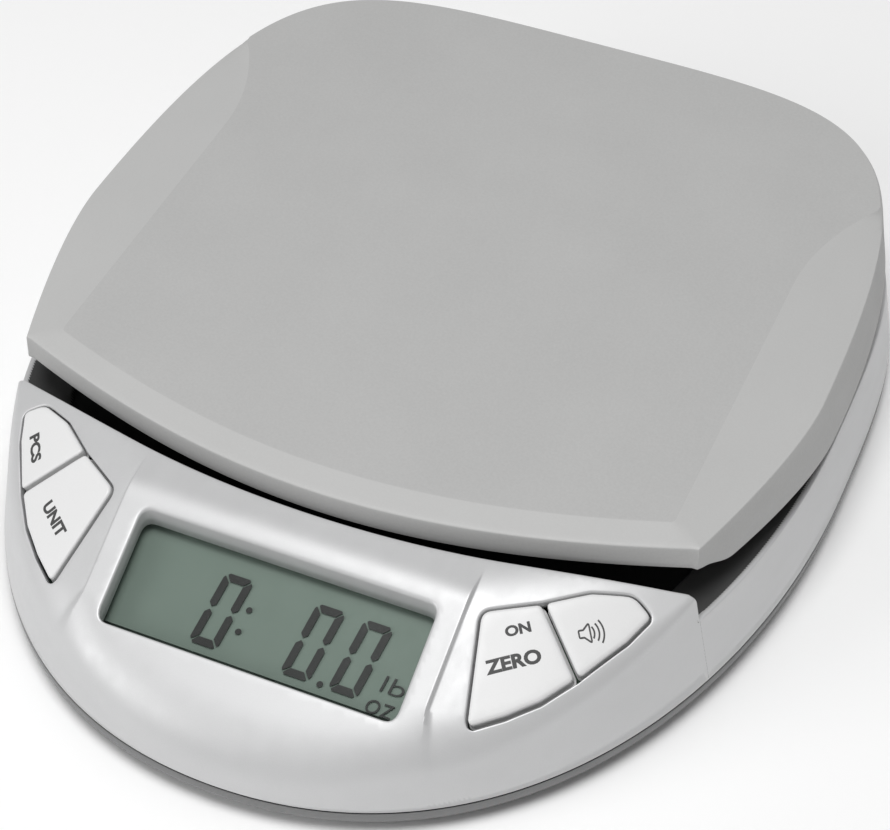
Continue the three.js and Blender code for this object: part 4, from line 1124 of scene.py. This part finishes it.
def cross_screw(name, head_radius, shank_radius):
    """A pan-head screw that points up, with its cross recess underneath."""
    build = Build()
    x, y, _ = middle_of(name)
    low, high = [float(corner[2]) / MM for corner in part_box(name)]
    arm, half = 1.5, 0.33
    cross = [(half, half), (half, arm), (-half, arm), (-half, half), (-arm, half), (-arm, -half),
             (-half, -half), (-half, -arm), (half, -arm), (half, -half), (arm, -half), (arm, half)]
    recess = Opening(rounded([(x + u, y + v) for u, v in cross], 0.12, 4), 0.08, 0.9, UP, 0.16, floor=True)
    border = circle(x, y, head_radius - 0.55, 40)
    points = circle(x, y, head_radius - 0.7, 40)
    surface_with_openings(build, points, [(border, True)], border, flat_at(low), [recess], sign=-1)
    turned(build, [
        (head_radius - 0.55, low), (head_radius - 0.25, low + 0.08), (head_radius - 0.06, low + 0.3),
        (head_radius, low + 0.6), (head_radius, low + 1.5), (shank_radius, low + 1.5),
        (shank_radius, high - 0.8), (0.4, high),
    ], x, y, 40)
    build.fan(at_height(circle(x, y, 0.4, 40), high))
    build.made(name + "_detail", "base", "steel", [name], material=STEEL)


# ---------------------------------------------------------------- the scene

KEY_NAMES = ("zero", "sound", "unit", "count")
CAD_LOOKS = {
    BLACK: ["platform_bracket", "lcd_frame", "buzzer", "controller_chip", "black_wire",
            *[f"{key}_switch_body" for key in KEY_NAMES]],
    IVORY: [f"{key}_switch_plunger" for key in KEY_NAMES],
    BOARD: ["main_board"],
    LCD_GREEN: ["lcd_panel"],
    LENS: ["display_lens"],
    ALUMINIUM: ["load_cell"],
    NICKEL: ["battery_bridge_contact", "battery_positive_contact", "battery_negative_contact"],
    RED: ["red_wire"],
    SEALANT: ["gauge_cover_top", "gauge_cover_bottom", "lcd_strip_upper", "lcd_strip_lower",
              "load_cell_cable"],
    CELL_WRAP: ["battery_front", "battery_rear"],
    STEEL: ["load_cell_spacer", "overload_stop_screw", *[f"platform_screw_{i}" for i in range(1, 5)],
            "bracket_screw_1", "bracket_screw_2", "board_screw_1", "board_screw_2"],
}
for look, cad_names in CAD_LOOKS.items():
    for cad_name in cad_names:
        cad_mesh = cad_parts[cad_name].data
        cad_mesh.materials.clear()
        cad_mesh.materials.append(look)

upper_housing()
lower_housing()
battery_door()
platform()
key_cap("zero_key", KEY_INNER, INNER_RADII, 1)
key_cap("sound_key", KEY_OUTER, OUTER_RADII, 1)
key_cap("unit_key", KEY_INNER, INNER_RADII, -1)
key_cap("count_key", KEY_OUTER, OUTER_RADII, -1)
legend("zero_key_word", "ZERO", (37.5, -61.0), (44.7, -55.5), 2.35, "zero_key")
legend("zero_key_small_word", "ON", (38.2, -54.9), (41.5, -52.35), 1.75, "zero_key")
legend("unit_key_word", "UNIT", (-44.9, -57.45), (-39.4, -62.1), 2.2, "unit_key")
legend("count_key_word", "PCS", (-53.8, -45.8), (-50.8, -50.5), 2.1, "count_key")
speaker_icon()
display_segments()
for foot_name in FOOT_NODES:
    foot(foot_name)
for screw_name in HOUSING_SCREWS:
    cross_screw(screw_name, 2.5, 1.3)
for screw_name in CELL_SCREWS:
    cross_screw(screw_name, 2.6, 1.5)


FLOOR_HALF_WIDTH, FLOOR_ALBEDO = 3.0, 0.97     # in metres, and of the light it sends back
LIGHT_TARGET = (0, -0.02, 0.02)


def floor():
    mesh = bpy.data.meshes.new("floor")
    size = FLOOR_HALF_WIDTH
    corners = [(-size, -size, 0), (size, -size, 0), (size, size, 0), (-size, size, 0)]
    mesh.from_pydata(corners, [], [(0, 1, 2, 3)])
    ground = bpy.data.objects.new("floor", mesh)
    bpy.context.scene.collection.objects.link(ground)
    material, tree, shader = blank_material("pale floor")
    shader.inputs["Base Color"].default_value = rgba(FLOOR_ALBEDO)
    shader.inputs["Roughness"].default_value = 0.9
    mesh.materials.append(material)


def area_light(name, place, size, power):
    light = bpy.data.lights.new(name, "AREA")
    light.shape = "DISK"
    light.size = size
    light.energy = power
    light.spread = math.pi
    holder = bpy.data.objects.new(name, light)
    bpy.context.scene.collection.objects.link(holder)
    holder.location = Vector(place)
    holder.rotation_euler = (Vector(LIGHT_TARGET) - Vector(place)).to_track_quat("-Z", "Y").to_euler()


def camera():
    """The camera at the photograph's angle; lengths are in mm."""
    azimuth, elevation, distance = math.radians(23.57), math.radians(45.36), 422.46
    target = Vector((9.70, -14.02, 26.25))
    back = Vector((math.sin(azimuth) * math.cos(elevation), -math.cos(azimuth) * math.cos(elevation),
                   math.sin(elevation)))
    right = Vector((math.cos(azimuth), math.sin(azimuth), 0))
    up = back.cross(right)
    data = bpy.data.cameras.new("camera")
    data.lens, data.sensor_width = 99.57, 36
    data.clip_start = 0.01
    holder = bpy.data.objects.new("camera", data)
    bpy.context.scene.collection.objects.link(holder)
    turn = Matrix((right, up, back)).transposed().to_4x4()
    holder.matrix_world = Matrix.Translation((target + back * distance) * MM) @ turn
    bpy.context.scene.camera = holder


floor()
camera()
world = bpy.data.worlds.new("studio")
world.use_nodes = True
world.node_tree.nodes["Background"].inputs["Color"].default_value = (1, 1, 1, 1)
world.node_tree.nodes["Background"].inputs["Strength"].default_value = 0.26
bpy.context.scene.world = world
bpy.context.scene.view_settings.view_transform = "Standard"
area_light("key", (0.05, -0.2, 1.05), 0.6, 7.8)
area_light("side", (-0.75, -0.75, 0.55), 0.6, 3.2)
